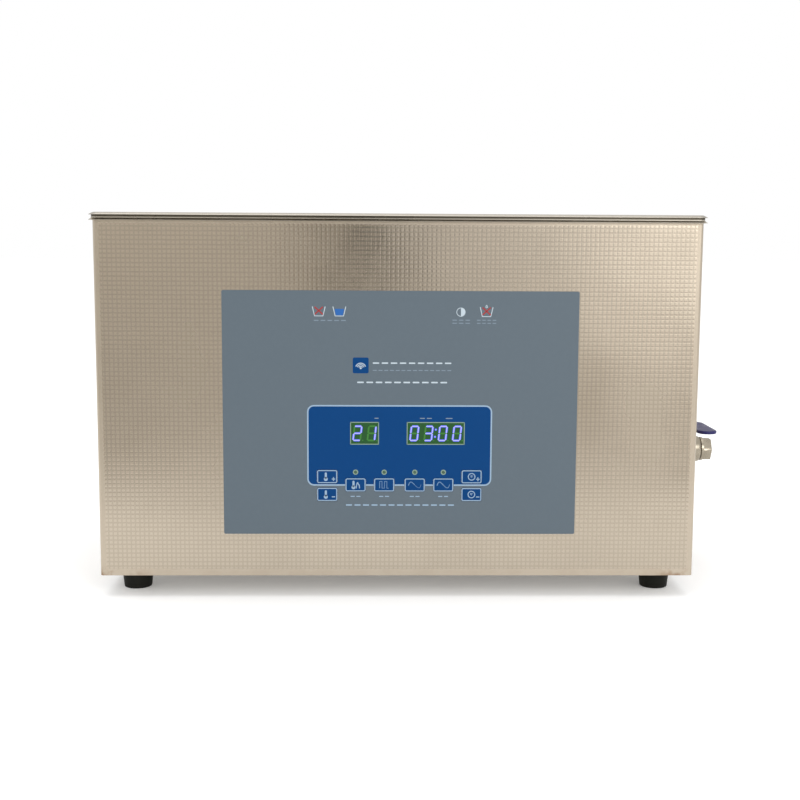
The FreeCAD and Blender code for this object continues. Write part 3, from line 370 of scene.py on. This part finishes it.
def frame_line(width, height, radius, line, depth):
    """A thin rectangular outline with rounded corners."""
    return hollowed(rectangle(width, height, radius), line, depth)


def disc(radius, depth, segments=24, edge=0.0):
    bm = bmesh.new()
    bmesh.ops.create_circle(bm, cap_ends=True, segments=segments, radius=radius)
    thickened(bm, depth)
    return softened(bm, edge, 2, depth / 2) if edge else bm


def band(outer, inner, depth, segments=28):
    """A flat ring."""
    bm = bmesh.new()
    bmesh.ops.create_circle(bm, cap_ends=True, segments=segments, radius=outer)
    return hollowed(bm, outer - inner, depth)


def turned(profile, segments=40):
    """A body turned about its own Z axis; the profile is (radius, height), from pole to pole."""
    bm = bmesh.new()
    ring = [bm.verts.new((radius, 0, height)) for radius, height in profile]
    edges = [bm.edges.new(pair) for pair in zip(ring, ring[1:])]
    bmesh.ops.spin(bm, geom=ring + edges, cent=(0, 0, 0), axis=(0, 0, 1), angle=2 * math.pi,
                   steps=segments, use_merge=True, dvec=(0, 0, 0))
    bmesh.ops.remove_doubles(bm, verts=bm.verts, dist=1e-4)
    bmesh.ops.recalc_face_normals(bm, faces=bm.faces[:])
    return bm


def hexagon(across_flats, depth, edge):
    """A six-sided nut lying on z = 0, its edges softened."""
    bm = bmesh.new()
    bmesh.ops.create_circle(bm, cap_ends=True, segments=6, radius=across_flats / math.sqrt(3))
    return softened(thickened(bm, depth), edge, 3, angle=50)


def strokes(lines, width, depth=INK):
    """Printed lines of one width, as flattened rods; a line is its points, and may be smooth or closed."""
    curve = bpy.data.curves.new("strokes", "CURVE")
    curve.dimensions = "3D"
    curve.bevel_depth = width / 2
    curve.bevel_resolution = 1
    curve.use_fill_caps = True
    for points, smooth in lines:
        spline = curve.splines.new("NURBS" if smooth else "POLY")
        spline.points.add(len(points) - 1)
        for point, (across, up) in zip(spline.points, points):
            point.co = (across, up, 0, 1)
        if smooth:
            spline.order_u = 3
            spline.use_endpoint_u = True
            spline.resolution_u = 5
    holder = bpy.data.objects.new("strokes", curve)
    mesh = bpy.data.meshes.new_from_object(holder)
    bpy.data.objects.remove(holder)
    bpy.data.curves.remove(curve)
    bm = bmesh.new()
    bm.from_mesh(mesh)
    bpy.data.meshes.remove(mesh)
    bmesh.ops.scale(bm, vec=(1, 1, 2 * depth / width), verts=bm.verts)
    return bm


def cut_out(bm, cutters):
    """Takes one shape out of another."""
    holders = []
    for shape in (bm, cutters):
        mesh = bpy.data.meshes.new("cutting")
        shape.to_mesh(mesh)
        shape.free()
        holder = bpy.data.objects.new("cutting", mesh)
        bpy.context.scene.collection.objects.link(holder)
        holders.append(holder)
    modifier = holders[0].modifiers.new("cut", "BOOLEAN")
    modifier.operation = "DIFFERENCE"
    modifier.solver = "EXACT"
    modifier.object = holders[1]
    result = bmesh.new()
    result.from_object(holders[0], bpy.context.evaluated_depsgraph_get())
    for holder in holders:
        mesh = holder.data
        bpy.data.objects.remove(holder)
        bpy.data.meshes.remove(mesh)
    return result


def circle_points(radius, start=0.0, sweep=360.0, steps=18):
    """Points round a circle or along an arc, in degrees."""
    turns = [math.radians(start + sweep * step / steps) for step in range(steps + 1)]
    return [(radius * math.cos(turn), radius * math.sin(turn)) for turn in turns]


def front(across, up, out=FACE):
    return Matrix.Translation((across, -out, up)) @ FRONT


def along_x(start, across, up):
    """The local Z axis turned to point along +X."""
    return Matrix.Translation((start, across, up)) @ Matrix.Rotation(math.pi / 2, 4, "Y")


def finished(name, bm, finish, body=ROOT, stands_for=(), smooth=35):
    """A piece in metres with its material, riding on its body."""
    bmesh.ops.scale(bm, vec=(MM, MM, MM), verts=bm.verts)
    mesh = bpy.data.meshes.new(name)
    bm.to_mesh(mesh)
    bm.free()
    mesh.shade_smooth()
    mesh.set_sharp_from_angle(angle=math.radians(smooth))
    mesh.materials.append(FINISHES[finish].material)
    piece = bpy.data.objects.new(name, mesh)
    bpy.context.scene.collection.objects.link(piece)
    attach(piece, body)
    if stands_for:
        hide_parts(*stands_for)
    return piece


# ------------------------------------------------------------ embossed skins

def embossed_skin(name, finish, width, bottom, top, place):
    """A thin closed skin of small raised squares over one face of the casing."""
    columns = int(width / PITCH)
    rows = int((top - bottom) / PITCH)
    tuck, valley, crown = -0.12, 0.03, 0.115
    bm = bmesh.new()
    bmesh.ops.create_grid(bm, x_segments=2 * columns, y_segments=2 * rows, size=0.5)
    bmesh.ops.scale(bm, vec=(columns * PITCH, rows * PITCH, 1), verts=bm.verts)
    for vert in bm.verts:
        column = round((vert.co.x + columns * PITCH / 2) / (PITCH / 2))
        row = round((vert.co.y + rows * PITCH / 2) / (PITCH / 2))
        inside = 0 < column < 2 * columns and 0 < row < 2 * rows
        raised = column % 2 and row % 2
        vert.co.z = (crown if raised else valley) if inside else tuck
    rim = [edge for edge in bm.edges if edge.is_boundary]
    bmesh.ops.edgeloop_fill(bm, edges=rim)
    bmesh.ops.recalc_face_normals(bm, faces=bm.faces[:])
    bmesh.ops.transform(bm, matrix=place, verts=bm.verts)
    return finished(name, bm, finish, smooth=60)


embossed_skin("front_emboss", "front_squares", 2 * WALL_SIDE - 8, SKIN_BOTTOM, SKIN_TOP,
              Matrix.Translation((MIDDLE, -WALL_FRONT, SKIN_MIDDLE)) @ FRONT)
embossed_skin("right_emboss", "side_squares", 2 * WALL_FRONT - 8, SKIN_BOTTOM, SKIN_TOP,
              Matrix.Translation((MIDDLE + WALL_SIDE, 0, SKIN_MIDDLE)) @ RIGHT)
embossed_skin("left_emboss", "side_squares", 2 * WALL_FRONT - 8, SKIN_BOTTOM, SKIN_TOP,
              Matrix.Translation((MIDDLE - WALL_SIDE, 0, SKIN_MIDDLE)) @ LEFT)


# ----------------------------------------------------------------------- lid

def lid_sheet():
    """The loose lid: a flat sheet with a shallow folded edge."""
    low, high = (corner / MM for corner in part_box("lid_pan"))
    width, length = high.x - low.x, high.y - low.y
    bm = rectangle(width, length, 8.0, 8)
    thickened(bm, 0.3)
    top = max(bm.faces, key=lambda face: face.calc_center_median().z)
    bmesh.ops.inset_region(bm, faces=[top], thickness=3.8, use_even_offset=True)
    bmesh.ops.translate(bm, vec=(0, 0, high.z - low.z - 0.3), verts=top.verts)
    softened(bm, 0.25, 3, 0.1, 15)
    bmesh.ops.transform(bm, matrix=Matrix.Translation(((low.x + high.x) / 2, (low.y + high.y) / 2, low.z)),
                        verts=bm.verts)
    finished("lid_sheet", bm, "lid_steel", "lid", ["lid_pan"], 50)


lid_sheet()


# ---------------------------------------------------------------------- feet

def feet():
    """Four turned rubber feet with a recess for the screw."""
    bm = bmesh.new()
    profile = [(0, 14), (6.0, 14), (6.0, 0.7), (6.6, 0), (11.7, 0), (12.3, 0.25), (12.6, 0.9),
               (14.45, 18.4), (14.6, 19.3), (14.2, 20), (0, 20)]
    for across in (-239, 239):
        for deep in (-125, 125):
            joined(bm, turned(profile), Matrix.Translation((MIDDLE + across, deep, 0)))
    finished("rubber_foot_set", bm, "foot_rubber", stands_for=["rubber_feet"])


feet()


# ------------------------------------------------------------- control panel

FIELD = (0.95 + MIDDLE, 137.85, 160.7, 69.7)   # middle across and up, width, height of the blue field


def print_dashes(bm, across, up, height, width):
    """A line of small print as a row of equal plain dashes, spread over a width."""
    count = max(1, round(width / (3 * height)))
    gap = 0.28                        # the space after a dash, as a share of the step
    step = width / (count - gap)
    for number in range(count):
        spot = across + (number - (count - 1) / 2) * step
        dash = slab((1 - gap) * step, 0.5 * height, INK, 0.2 * height)
        joined(bm, dash, front(spot, up, FACE + 0.02))
    return bm


PANEL_MIDDLE = MIDDLE + 1
COLUMNS = [PANEL_MIDDLE + centre for centre in (-38.9, -13.55, 13.55, 38.9)]   # of lamps and keys
KEYS = {                 # the middle of each key
    "heating": (COLUMNS[0], 102.6),
    "pulse": (COLUMNS[1], 102.6),
    "half_power": (COLUMNS[2], 102.6),
    "full_power": (COLUMNS[3], 102.6),
    "warmer": (PANEL_MIDDLE - 64, 110),
    "cooler": (PANEL_MIDDLE - 64, 94),
    "longer": (PANEL_MIDDLE + 64, 110),
    "shorter": (PANEL_MIDDLE + 64, 94),
}


def key_openings():
    """The openings that the keys sink into."""
    bm = bmesh.new()
    for across, up in KEYS.values():
        joined(bm, slab(18.4, 12.4, 4, 1.7), front(across, up, FACE - 2))
    return bm


def panel_print():
    """Everything printed on the panel film."""
    across, up, width, height = FIELD
    field = joined(bmesh.new(), slab(width, height, INK / 2, 5.0), front(across, up))
    field = cut_out(field, key_openings())
    finished("panel_blue_field", field, "key_blue")
    badge = joined(bmesh.new(), slab(13.9, 13.9, INK, 1.4), front(MIDDLE - 33.5, 208.9))
    finished("panel_badge", badge, "key_blue")

    outline = frame_line(width + 2.4, height + 2.4, 6.0, 1.25, INK)
    pale = joined(bmesh.new(), outline, front(across, up, FACE + 0.01))
    pale = cut_out(pale, key_openings())
    for centre in COLUMNS:
        print_dashes(pale, centre, 92.2, 1.7, 8.8)
    print_dashes(pale, MIDDLE + 1.6, 84.4, 2.5, 96)

    faint = bmesh.new()
    print_dashes(faint, MIDDLE - 60.5, 248.2, 1.8, 28)
    for row in (248.9, 246.2):
        print_dashes(faint, MIDDLE + 54.2, row, 1.6, 15.5)
        print_dashes(faint, MIDDLE + 76.4, row, 1.6, 17)
    print_dashes(faint, MIDDLE + 11.5, 204.6, 1.6, 69)
    print_dashes(faint, MIDDLE - 19.5, 162.2, 1.7, 3.6)
    print_dashes(faint, MIDDLE + 24.0, 162.2, 1.6, 10.5)
    print_dashes(faint, MIDDLE + 44.5, 162.2, 1.6, 6)
    finished("panel_small_print", faint, "faint_ink")

    white = bmesh.new()
    for centre in (-70.1, -52.15, 76.3):
        basin = strokes([([(-5.6, 4.2), (-3.7, -4.0), (3.7, -4.0), (5.6, 4.2)], False)], 0.75)
        joined(white, basin, front(MIDDLE + centre, 256.1))
    joined(white, strokes([(circle_points(3.7), False)], 0.55), front(MIDDLE + 53.9, 255.9))
    half = bmesh.new()
    bmesh.ops.create_circle(half, cap_ends=True, segments=32, radius=3.9)
    bmesh.ops.bisect_plane(half, geom=half.verts[:] + half.edges[:] + half.faces[:], plane_co=(0, 0, 0),
                           plane_no=(1, 0, 0), clear_inner=True)
    joined(white, thickened(half, INK), front(MIDDLE + 53.9, 255.9))
    joined(white, strokes([([(0, 5.2), (-1.1, 3.6), (0, 2.6), (1.1, 3.6), (0, 5.2)], True)], 0.5),
           front(MIDDLE + 76.3, 256.9))
    print_dashes(white, MIDDLE + 11.5, 211.0, 2.5, 69)
    print_dashes(white, MIDDLE + 2.9, 194.0, 2.7, 79)
    for radius in (1.7, 3.1, 4.5):
        ripple = strokes([(circle_points(radius, 20, 140, 10), False)], 0.7)
        joined(white, ripple, front(MIDDLE - 33.5, 206.4, FACE + INK))
    joined(white, disc(0.8, INK), front(MIDDLE - 33.5, 206.4, FACE + INK))
    finished("panel_white_print", white, "white_ink")
    finished("panel_pale_print", pale, "pale_ink")

    red = bmesh.new()
    for centre in (-70.1, 76.3):
        cross = strokes([([(-3.6, 3.6), (3.6, -3.0)], False), ([(3.6, 3.6), (-3.6, -3.0)], False)], 1.1)
        joined(red, cross, front(MIDDLE + centre, 256.4, FACE + INK))
    finished("panel_red_print", red, "red_ink")

    water = bmesh.new()
    fill = rectangle(8.4, 5.6)
    for vert in fill.verts:
        if vert.co.y < 0:
            vert.co.x *= 0.74
    joined(water, thickened(fill, INK), front(MIDDLE - 52.15, 255.5))
    finished("panel_water_print", water, "water_ink")


panel_print()


# ------------------------------------------------------------------ displays

SEGMENTS = {
    "0": "abcdef", "1": "bc", "2": "abged", "3": "abgcd",
}
SPOTS = {
    "a": (0, 1, 0), "g": (0, 0, 0), "d": (0, -1, 0),
    "f": (-1, 0.5, 1), "b": (1, 0.5, 1), "e": (-1, -0.5, 1), "c": (1, -0.5, 1),
}
DIGIT_WIDTH = 6.3
DIGIT_HALF = 6.3
SLANT = 0.11
PANE = FACE + 0.06      # face of the display windows


def segment_bar(length, width, depth):
    """One display bar with pointed ends, lying across."""
    bm = bmesh.new()
    bmesh.ops.create_circle(bm, cap_ends=True, segments=6, radius=width / math.sqrt(3))
    bmesh.ops.rotate(bm, cent=(0, 0, 0), matrix=Matrix.Rotation(math.pi / 2, 3, "Z"), verts=bm.verts)
    reach = (length - 2 * width / math.sqrt(3)) / 2
    for vert in bm.verts:
        vert.co.x += math.copysign(reach, vert.co.x)
    return thickened(bm, depth)


def digit(bm, across, up, shown, width, out):
    """The bars of one digit that are in the given set, leaning to the right."""
    lean = Matrix.Identity(4)
    lean[0][1] = SLANT
    for name in shown:
        side, level, upright = SPOTS[name]
        bar = segment_bar((DIGIT_HALF if upright else DIGIT_WIDTH) - 0.35, width, 0.02)
        turn = Matrix.Rotation(math.pi / 2, 4, "Z") if upright else Matrix.Identity(4)
        shift = Matrix.Translation((side * DIGIT_WIDTH / 2, level * DIGIT_HALF, 0))
        joined(bm, bar, front(across, up, out) @ lean @ shift @ turn)


def displays():
    """Two display windows with slanted bar digits behind a clear pale edge."""
    panes, edges, dark, glow, core = (bmesh.new() for _ in range(5))
    up = 148.8
    for centre, width, text, spots in (
        (-51.0, 25.4, "21", (-6.3, 6.3)),
        (11.8, 51.2, "0300", (-18.9, -6.3, 6.2, 18.8)),
    ):
        joined(panes, slab(width - 1.2, 19.0, 0.9), front(centre, up, PANE - 0.9))
        joined(edges, frame_line(width, 20.2, 0.3, 0.75, 1.0), front(centre, up, PANE - 0.95))
        for character, spot in zip(text, spots):
            lit_bars = SEGMENTS[character]
            unlit = [name for name in "abcdefg" if name not in lit_bars]
            digit(dark, centre + spot, up, unlit, 1.5, PANE)
            digit(glow, centre + spot, up, lit_bars, 1.9, PANE)
            digit(core, centre + spot, up, lit_bars, 0.95, PANE + 0.02)
            joined(dark, disc(0.6, 0.02, 10), front(centre + spot + 4.6, up - DIGIT_HALF, PANE))
    for height in (-3.0, 3.4):
        joined(glow, disc(1.05, 0.02, 12), front(11.5 + SLANT * height, up + height, PANE))
        joined(core, disc(0.5, 0.02, 12), front(11.5 + SLANT * height, up + height, PANE + 0.02))
    finished("window_panes", panes, "window_green", stands_for=["display_windows"])
    finished("window_edges", edges, "lamp_ring")
    finished("display_bars_dark", dark, "segment_green")
    finished("display_bars_lit", glow, "segment_blue")
    finished("display_bar_cores", core, "segment_core")


displays()


def lamps():
    """Four small status lamps, each in a pale printed ring."""
    rings, domes = bmesh.new(), bmesh.new()
    for centre in COLUMNS:
        joined(rings, band(2.35, 1.45, INK), front(centre, LAMP_UP, FACE + 0.03))
        dome = turned([(0, 0.35), (0.9, 0.28), (1.5, 0.12), (1.7, 0), (1.7, -5), (0, -5)], 20)
        joined(domes, dome, front(centre, LAMP_UP, FACE - 0.05))
    finished("lamp_rings", rings, "lamp_ring")
    finished("lamp_domes", domes, "lamp_resin", stands_for=["status_lamps"])


lamps()


# ---------------------------------------------------------------------- keys

def thermometer(across):
    """A filled thermometer: a bulb and its stem."""
    bm = joined(bmesh.new(), disc(1.75, INK, 20), Matrix.Translation((across, -2.2, 0)))
    return joined(bm, slab(1.9, 5.6, INK, 0.9, segments=4), Matrix.Translation((across, 0.9, 0)))


def clock():
    """A round dial with a filled pointer."""
    bm = strokes([(circle_points(3.0), False)], 0.8)
    hand = strokes([([(-0.9, 0.9), (0, -0.7), (0.9, 0.9), (-0.9, 0.9)], False)], 0.6)
    return joined(bm, hand)


def icon_heating():
    """A thermometer beside a flame."""
    bm = thermometer(-1.8)
    flame = [([(0.6, -3.2), (0.7, -0.4), (1.9, 2.9), (2.6, -0.2), (3.4, 0.4), (3.5, -3.2)], True)]
    return joined(bm, strokes(flame, 0.85))


def icon_pulse():
    """A square wave."""
    wave = [(-4.0, -2.9), (-4.0, 3.1), (-1.9, 3.1), (-1.9, -2.9), (0.3, -2.9), (0.3, 3.1), (2.4, 3.1),
            (2.4, -2.9), (3.9, -2.9)]
    return strokes([(wave, False)], 0.75)


def icon_wave(first, second):
    """One wave, its two halves drawn in strokes of the given widths."""
    up_half = [(-5.6, -0.6), (-4.6, 2.6), (-2.6, 2.6), (-1.2, 1.2), (0, 0)]
    down_half = [(0, 0), (1.4, -1.6), (3.0, -2.6), (4.8, -2.6), (5.6, 0.4)]
    bm = strokes([(up_half, True)], first)
    return joined(bm, strokes([(down_half, True)], second))


def icon_signed(base, sign):
    """The base icon with a plus or minus at its lower right."""
    bars = [([(-1.5, 0), (1.5, 0)], False)]
    if sign > 0:
        bars.append(([(0, -1.7), (0, 1.7)], False))
    return joined(base, strokes(bars, 0.9), Matrix.Translation((5.6, -2.2, 0)))


def key(name, icon, ink="pale_ink"):
    """A film key: a softly raised pad with its pale edge and symbol, all moving together."""
    across, up = KEYS[name]
    body = "key_" + name
    pad = slab(18, 12, 0.75, 1.5, 0.2)
    stem = disc(2.0, 3.4, 20)
    bm = joined(bmesh.new(), pad, front(across, up, KEY_FACE - 0.75))
    joined(bm, stem, front(across, up, KEY_FACE - 4.0))
    finished(body + "_pad", bm, "key_blue", body, [body])
    marks = joined(bmesh.new(), frame_line(17.6, 11.6, 1.5, 0.8, INK), front(across, up, KEY_FACE))
    finished(body + "_edge", marks, "pale_ink", body)
    symbol = joined(bmesh.new(), icon, front(across, up, KEY_FACE))
    finished(body + "_symbol", symbol, ink, body)


key("heating", icon_heating())
key("pulse", icon_pulse(), "dim_ink")
key("half_power", icon_wave(0.7, 0.35), "dim_ink")
key("full_power", icon_wave(0.8, 0.6), "dim_ink")
key("warmer", icon_signed(thermometer(-1.2), 1))
key("cooler", icon_signed(thermometer(-1.2), -1))
key("longer", icon_signed(clock(), 1))
key("shorter", icon_signed(clock(), -1))


# --------------------------------------------------------------- drain valve

def valve():
    """The drain valve outside the casing: back nut, barrel, outlet end and packing nut."""
    nuts = joined(bmesh.new(), hexagon(24, 6, 0.8), along_x(244, 0, VALVE_UP))
    joined(nuts, hexagon(24, 4, 0.6), along_x(237, 0, VALVE_UP))
    finished("wall_nuts", nuts, "valve_nickel", stands_for=["bulkhead_nuts"])

    body = joined(bmesh.new(), hexagon(24, 12, 0.8), along_x(250, 0, VALVE_UP))
    barrel = turned([(0, 0), (11.6, 0), (12.7, 0.9), (13.0, 2.0), (13.0, 24.6), (12.5, 26.0), (11.5, 27.0),
                     (0, 27.0)], 48)
    joined(body, barrel, along_x(262, 0, VALVE_UP))
    neck = turned([(0, 0), (7.0, 0), (7.0, 18.0), (6.7, 18.5), (0, 18.5)], 36)
    joined(body, neck, Matrix.Translation((SPINDLE, 0, VALVE_UP)))
    finished("valve_barrel", body, "valve_nickel", stands_for=["valve_body"])

    outlet = bmesh.new()
    collar = turned([(7.6, -2.4), (11.6, -2.4), (12.0, -2.0), (12.0, 0), (7.6, 0), (7.6, -2.4)], 40)
    joined(outlet, collar, along_x(291.7, 0, VALVE_UP))
    end = bmesh.new()
    bmesh.ops.create_circle(end, cap_ends=True, segments=48, radius=7.5)
    bore = end.edges[:]
    bmesh.ops.delete(end, geom=end.faces[:], context="FACES_ONLY")
    ring = bmesh.ops.create_circle(end, cap_ends=False, segments=48, radius=21 / math.sqrt(3))["verts"]
    for vert in ring:
        turn = math.atan2(vert.co.y, vert.co.x)
        sector = (turn + math.pi / 6) % (math.pi / 3) - math.pi / 6
        vert.co = Vector((math.cos(turn), math.sin(turn), 0)) * min(11.75, 10.5 / math.cos(sector))
    outside = [edge for edge in end.edges if edge not in bore]
    bmesh.ops.bridge_loops(end, edges=bore + outside)
    thickened(end, 8.3)
    softened(end, 0.45, 2, 4.0)
    joined(outlet, end, along_x(291.7, 0, VALVE_UP))
    finished("valve_outlet_end", outlet, "valve_nickel", stands_for=["valve_outlet"])

    packing = joined(bmesh.new(), hexagon(14, 5, 0.6), Matrix.Translation((SPINDLE, 0, 127)))
    finished("packing_nut", packing, "valve_nickel", stands_for=["gland_nut"])


def lever():
    """The valve lever: a pressed strip, its dipped sleeve and the nut on the spindle."""
    strip = slab(14.4, 90, 1.6, 7.1, 0.35, 10)
    softened(strip, 0.35, 2, -1, 60)
    joined_strip = joined(bmesh.new(), strip, Matrix.Translation((SPINDLE, -35, 136.6)))
    finished("lever_strip", joined_strip, "valve_nickel", "drain_lever", ["drain_lever"])

    sleeve = rectangle(18.4, 67, 9.0, 10)
    thickened(sleeve, 3.2)
    softened(sleeve, 1.1, 4, None, 50)
    sleeve = joined(bmesh.new(), sleeve, Matrix.Translation((SPINDLE, -51.5, 135.8)))
    finished("lever_grip", sleeve, "sleeve_blue", "drain_lever", ["lever_sleeve"], 60)

    nut = joined(bmesh.new(), hexagon(9, 4, 0.5), Matrix.Translation((SPINDLE, 0, 138.2)))
    finished("spindle_nut", nut, "screw_steel", "drain_lever", ["lever_nut"])


valve()
lever()


# ------------------------------------------------------ carried-over pieces

SLOT_OF = {part["node"]: part["material_slot"] for part in frame["record"]["subparts"]}


def dress_cad():
    """Gives each node that stays in view the finish of its own slot."""
    for name, node in frame["nodes"].items():
        for holder in node.material_slots:
            holder.material = FINISHES[SLOT_OF[name]].material


dress_cad()


# -------------------------------------------------------------- studio, view

def floor():
    """A plain pale floor."""
    bm = bmesh.new()
    bmesh.ops.create_grid(bm, x_segments=4, y_segments=4, size=20)
    mesh = bpy.data.meshes.new("floor")
    bm.to_mesh(mesh)
    bm.free()
    pale = Finish("pale_floor", (0.92, 0.92, 0.92), roughness=0.9,
                  Emission_Color=(1, 1, 1, 1), Emission_Strength=0.16)
    pale.tint(pale.span(pale.noise(0.8, 2.0), 0.3, 0.7, 0.0, 0.2), (0.90, 0.90, 0.90))
    mesh.materials.append(pale.material)
    ground = bpy.data.objects.new("floor", mesh)
    bpy.context.scene.collection.objects.link(ground)


def card(name, place, size, shade, lying=False):
    """An unseen grey card, upright or lying, that only shows in reflections."""
    bm = bmesh.new()
    bmesh.ops.create_grid(bm, x_segments=1, y_segments=1, size=0.5)
    bmesh.ops.scale(bm, vec=(*size, 1), verts=bm.verts)
    turn = Matrix.Identity(4) if lying else FRONT
    bmesh.ops.transform(bm, matrix=Matrix.Translation(place) @ turn, verts=bm.verts)
    mesh = bpy.data.meshes.new(name)
    bm.to_mesh(mesh)
    bm.free()
    mesh.materials.append(Finish(name, (shade, shade * 0.97, shade * 0.92), roughness=0.9).material)
    board = bpy.data.objects.new(name, mesh)
    board.visible_camera = False
    board.visible_shadow = False
    board.visible_diffuse = False
    bpy.context.scene.collection.objects.link(board)


def soft_light(name, place, target, size, power):
    """A rectangular light that faces its target and isn't seen itself."""
    light = bpy.data.lights.new(name, "AREA")
    light.shape = "RECTANGLE"
    light.size, light.size_y = size
    light.energy = power
    lamp = bpy.data.objects.new(name, light)
    lamp.location = place
    lamp.rotation_euler = (Vector(target) - Vector(place)).to_track_quat("-Z", "Y").to_euler()
    lamp.visible_camera = False
    bpy.context.scene.collection.objects.link(lamp)


def studio():
    """Even pale surroundings, a broad light from the front right and dark cards for the metal."""
    world = bpy.data.worlds.new("studio")
    world.use_nodes = True
    background = world.node_tree.nodes["Background"]
    background.inputs["Color"].default_value = (1.0, 1.0, 1.0, 1.0)
    background.inputs["Strength"].default_value = 1.0
    bpy.context.scene.world = world
    soft_light("broad_light", (1.35, -2.55, 1.3), (0.0, 0.0, 0.25), (1.2, 1.2), 24.0)
    soft_light("side_light", (1.0, -2.55, 0.42), (0.2, 0.0, 0.3), (0.7, 0.6), 1.6)
    soft_light("top_light", (-0.2, 0.0, 2.6), (0.0, 0.0, 0.2), (2.4, 2.4), 25.0)
    card("dark_card", (-0.062, -1.32, 0.36), (0.12, 0.42), 0.10)
    card("grey_card", (-0.95, -2.7, 0.9), (1.9, 1.6), 0.70)
    card("floor_card", (0.0, -2.3, 0.004), (6.0, 3.3), 0.55, lying=True)
    card("back_card", (0.0, 2.4, 0.9), (6.0, 1.7), 0.62)
    bpy.context.scene.view_settings.view_transform = "Standard"


def view():
    """The camera at the height of the rim, a little left of the middle."""
    lens = bpy.data.cameras.new("camera")
    lens.lens = 56.7
    lens.sensor_width = 36.0
    lens.clip_start = 0.05
    eye = bpy.data.objects.new("camera", lens)
    turn = (Matrix.Rotation(math.radians(-1.235), 4, "Z") @ Matrix.Rotation(math.radians(82.823), 4, "X")
            @ Matrix.Rotation(math.radians(0.318), 4, "Z"))
    eye.matrix_world = Matrix.Translation((-0.0436, -1.2651, 0.3169)) @ turn
    bpy.context.scene.collection.objects.link(eye)
    bpy.context.scene.camera = eye


floor()
studio()
view()
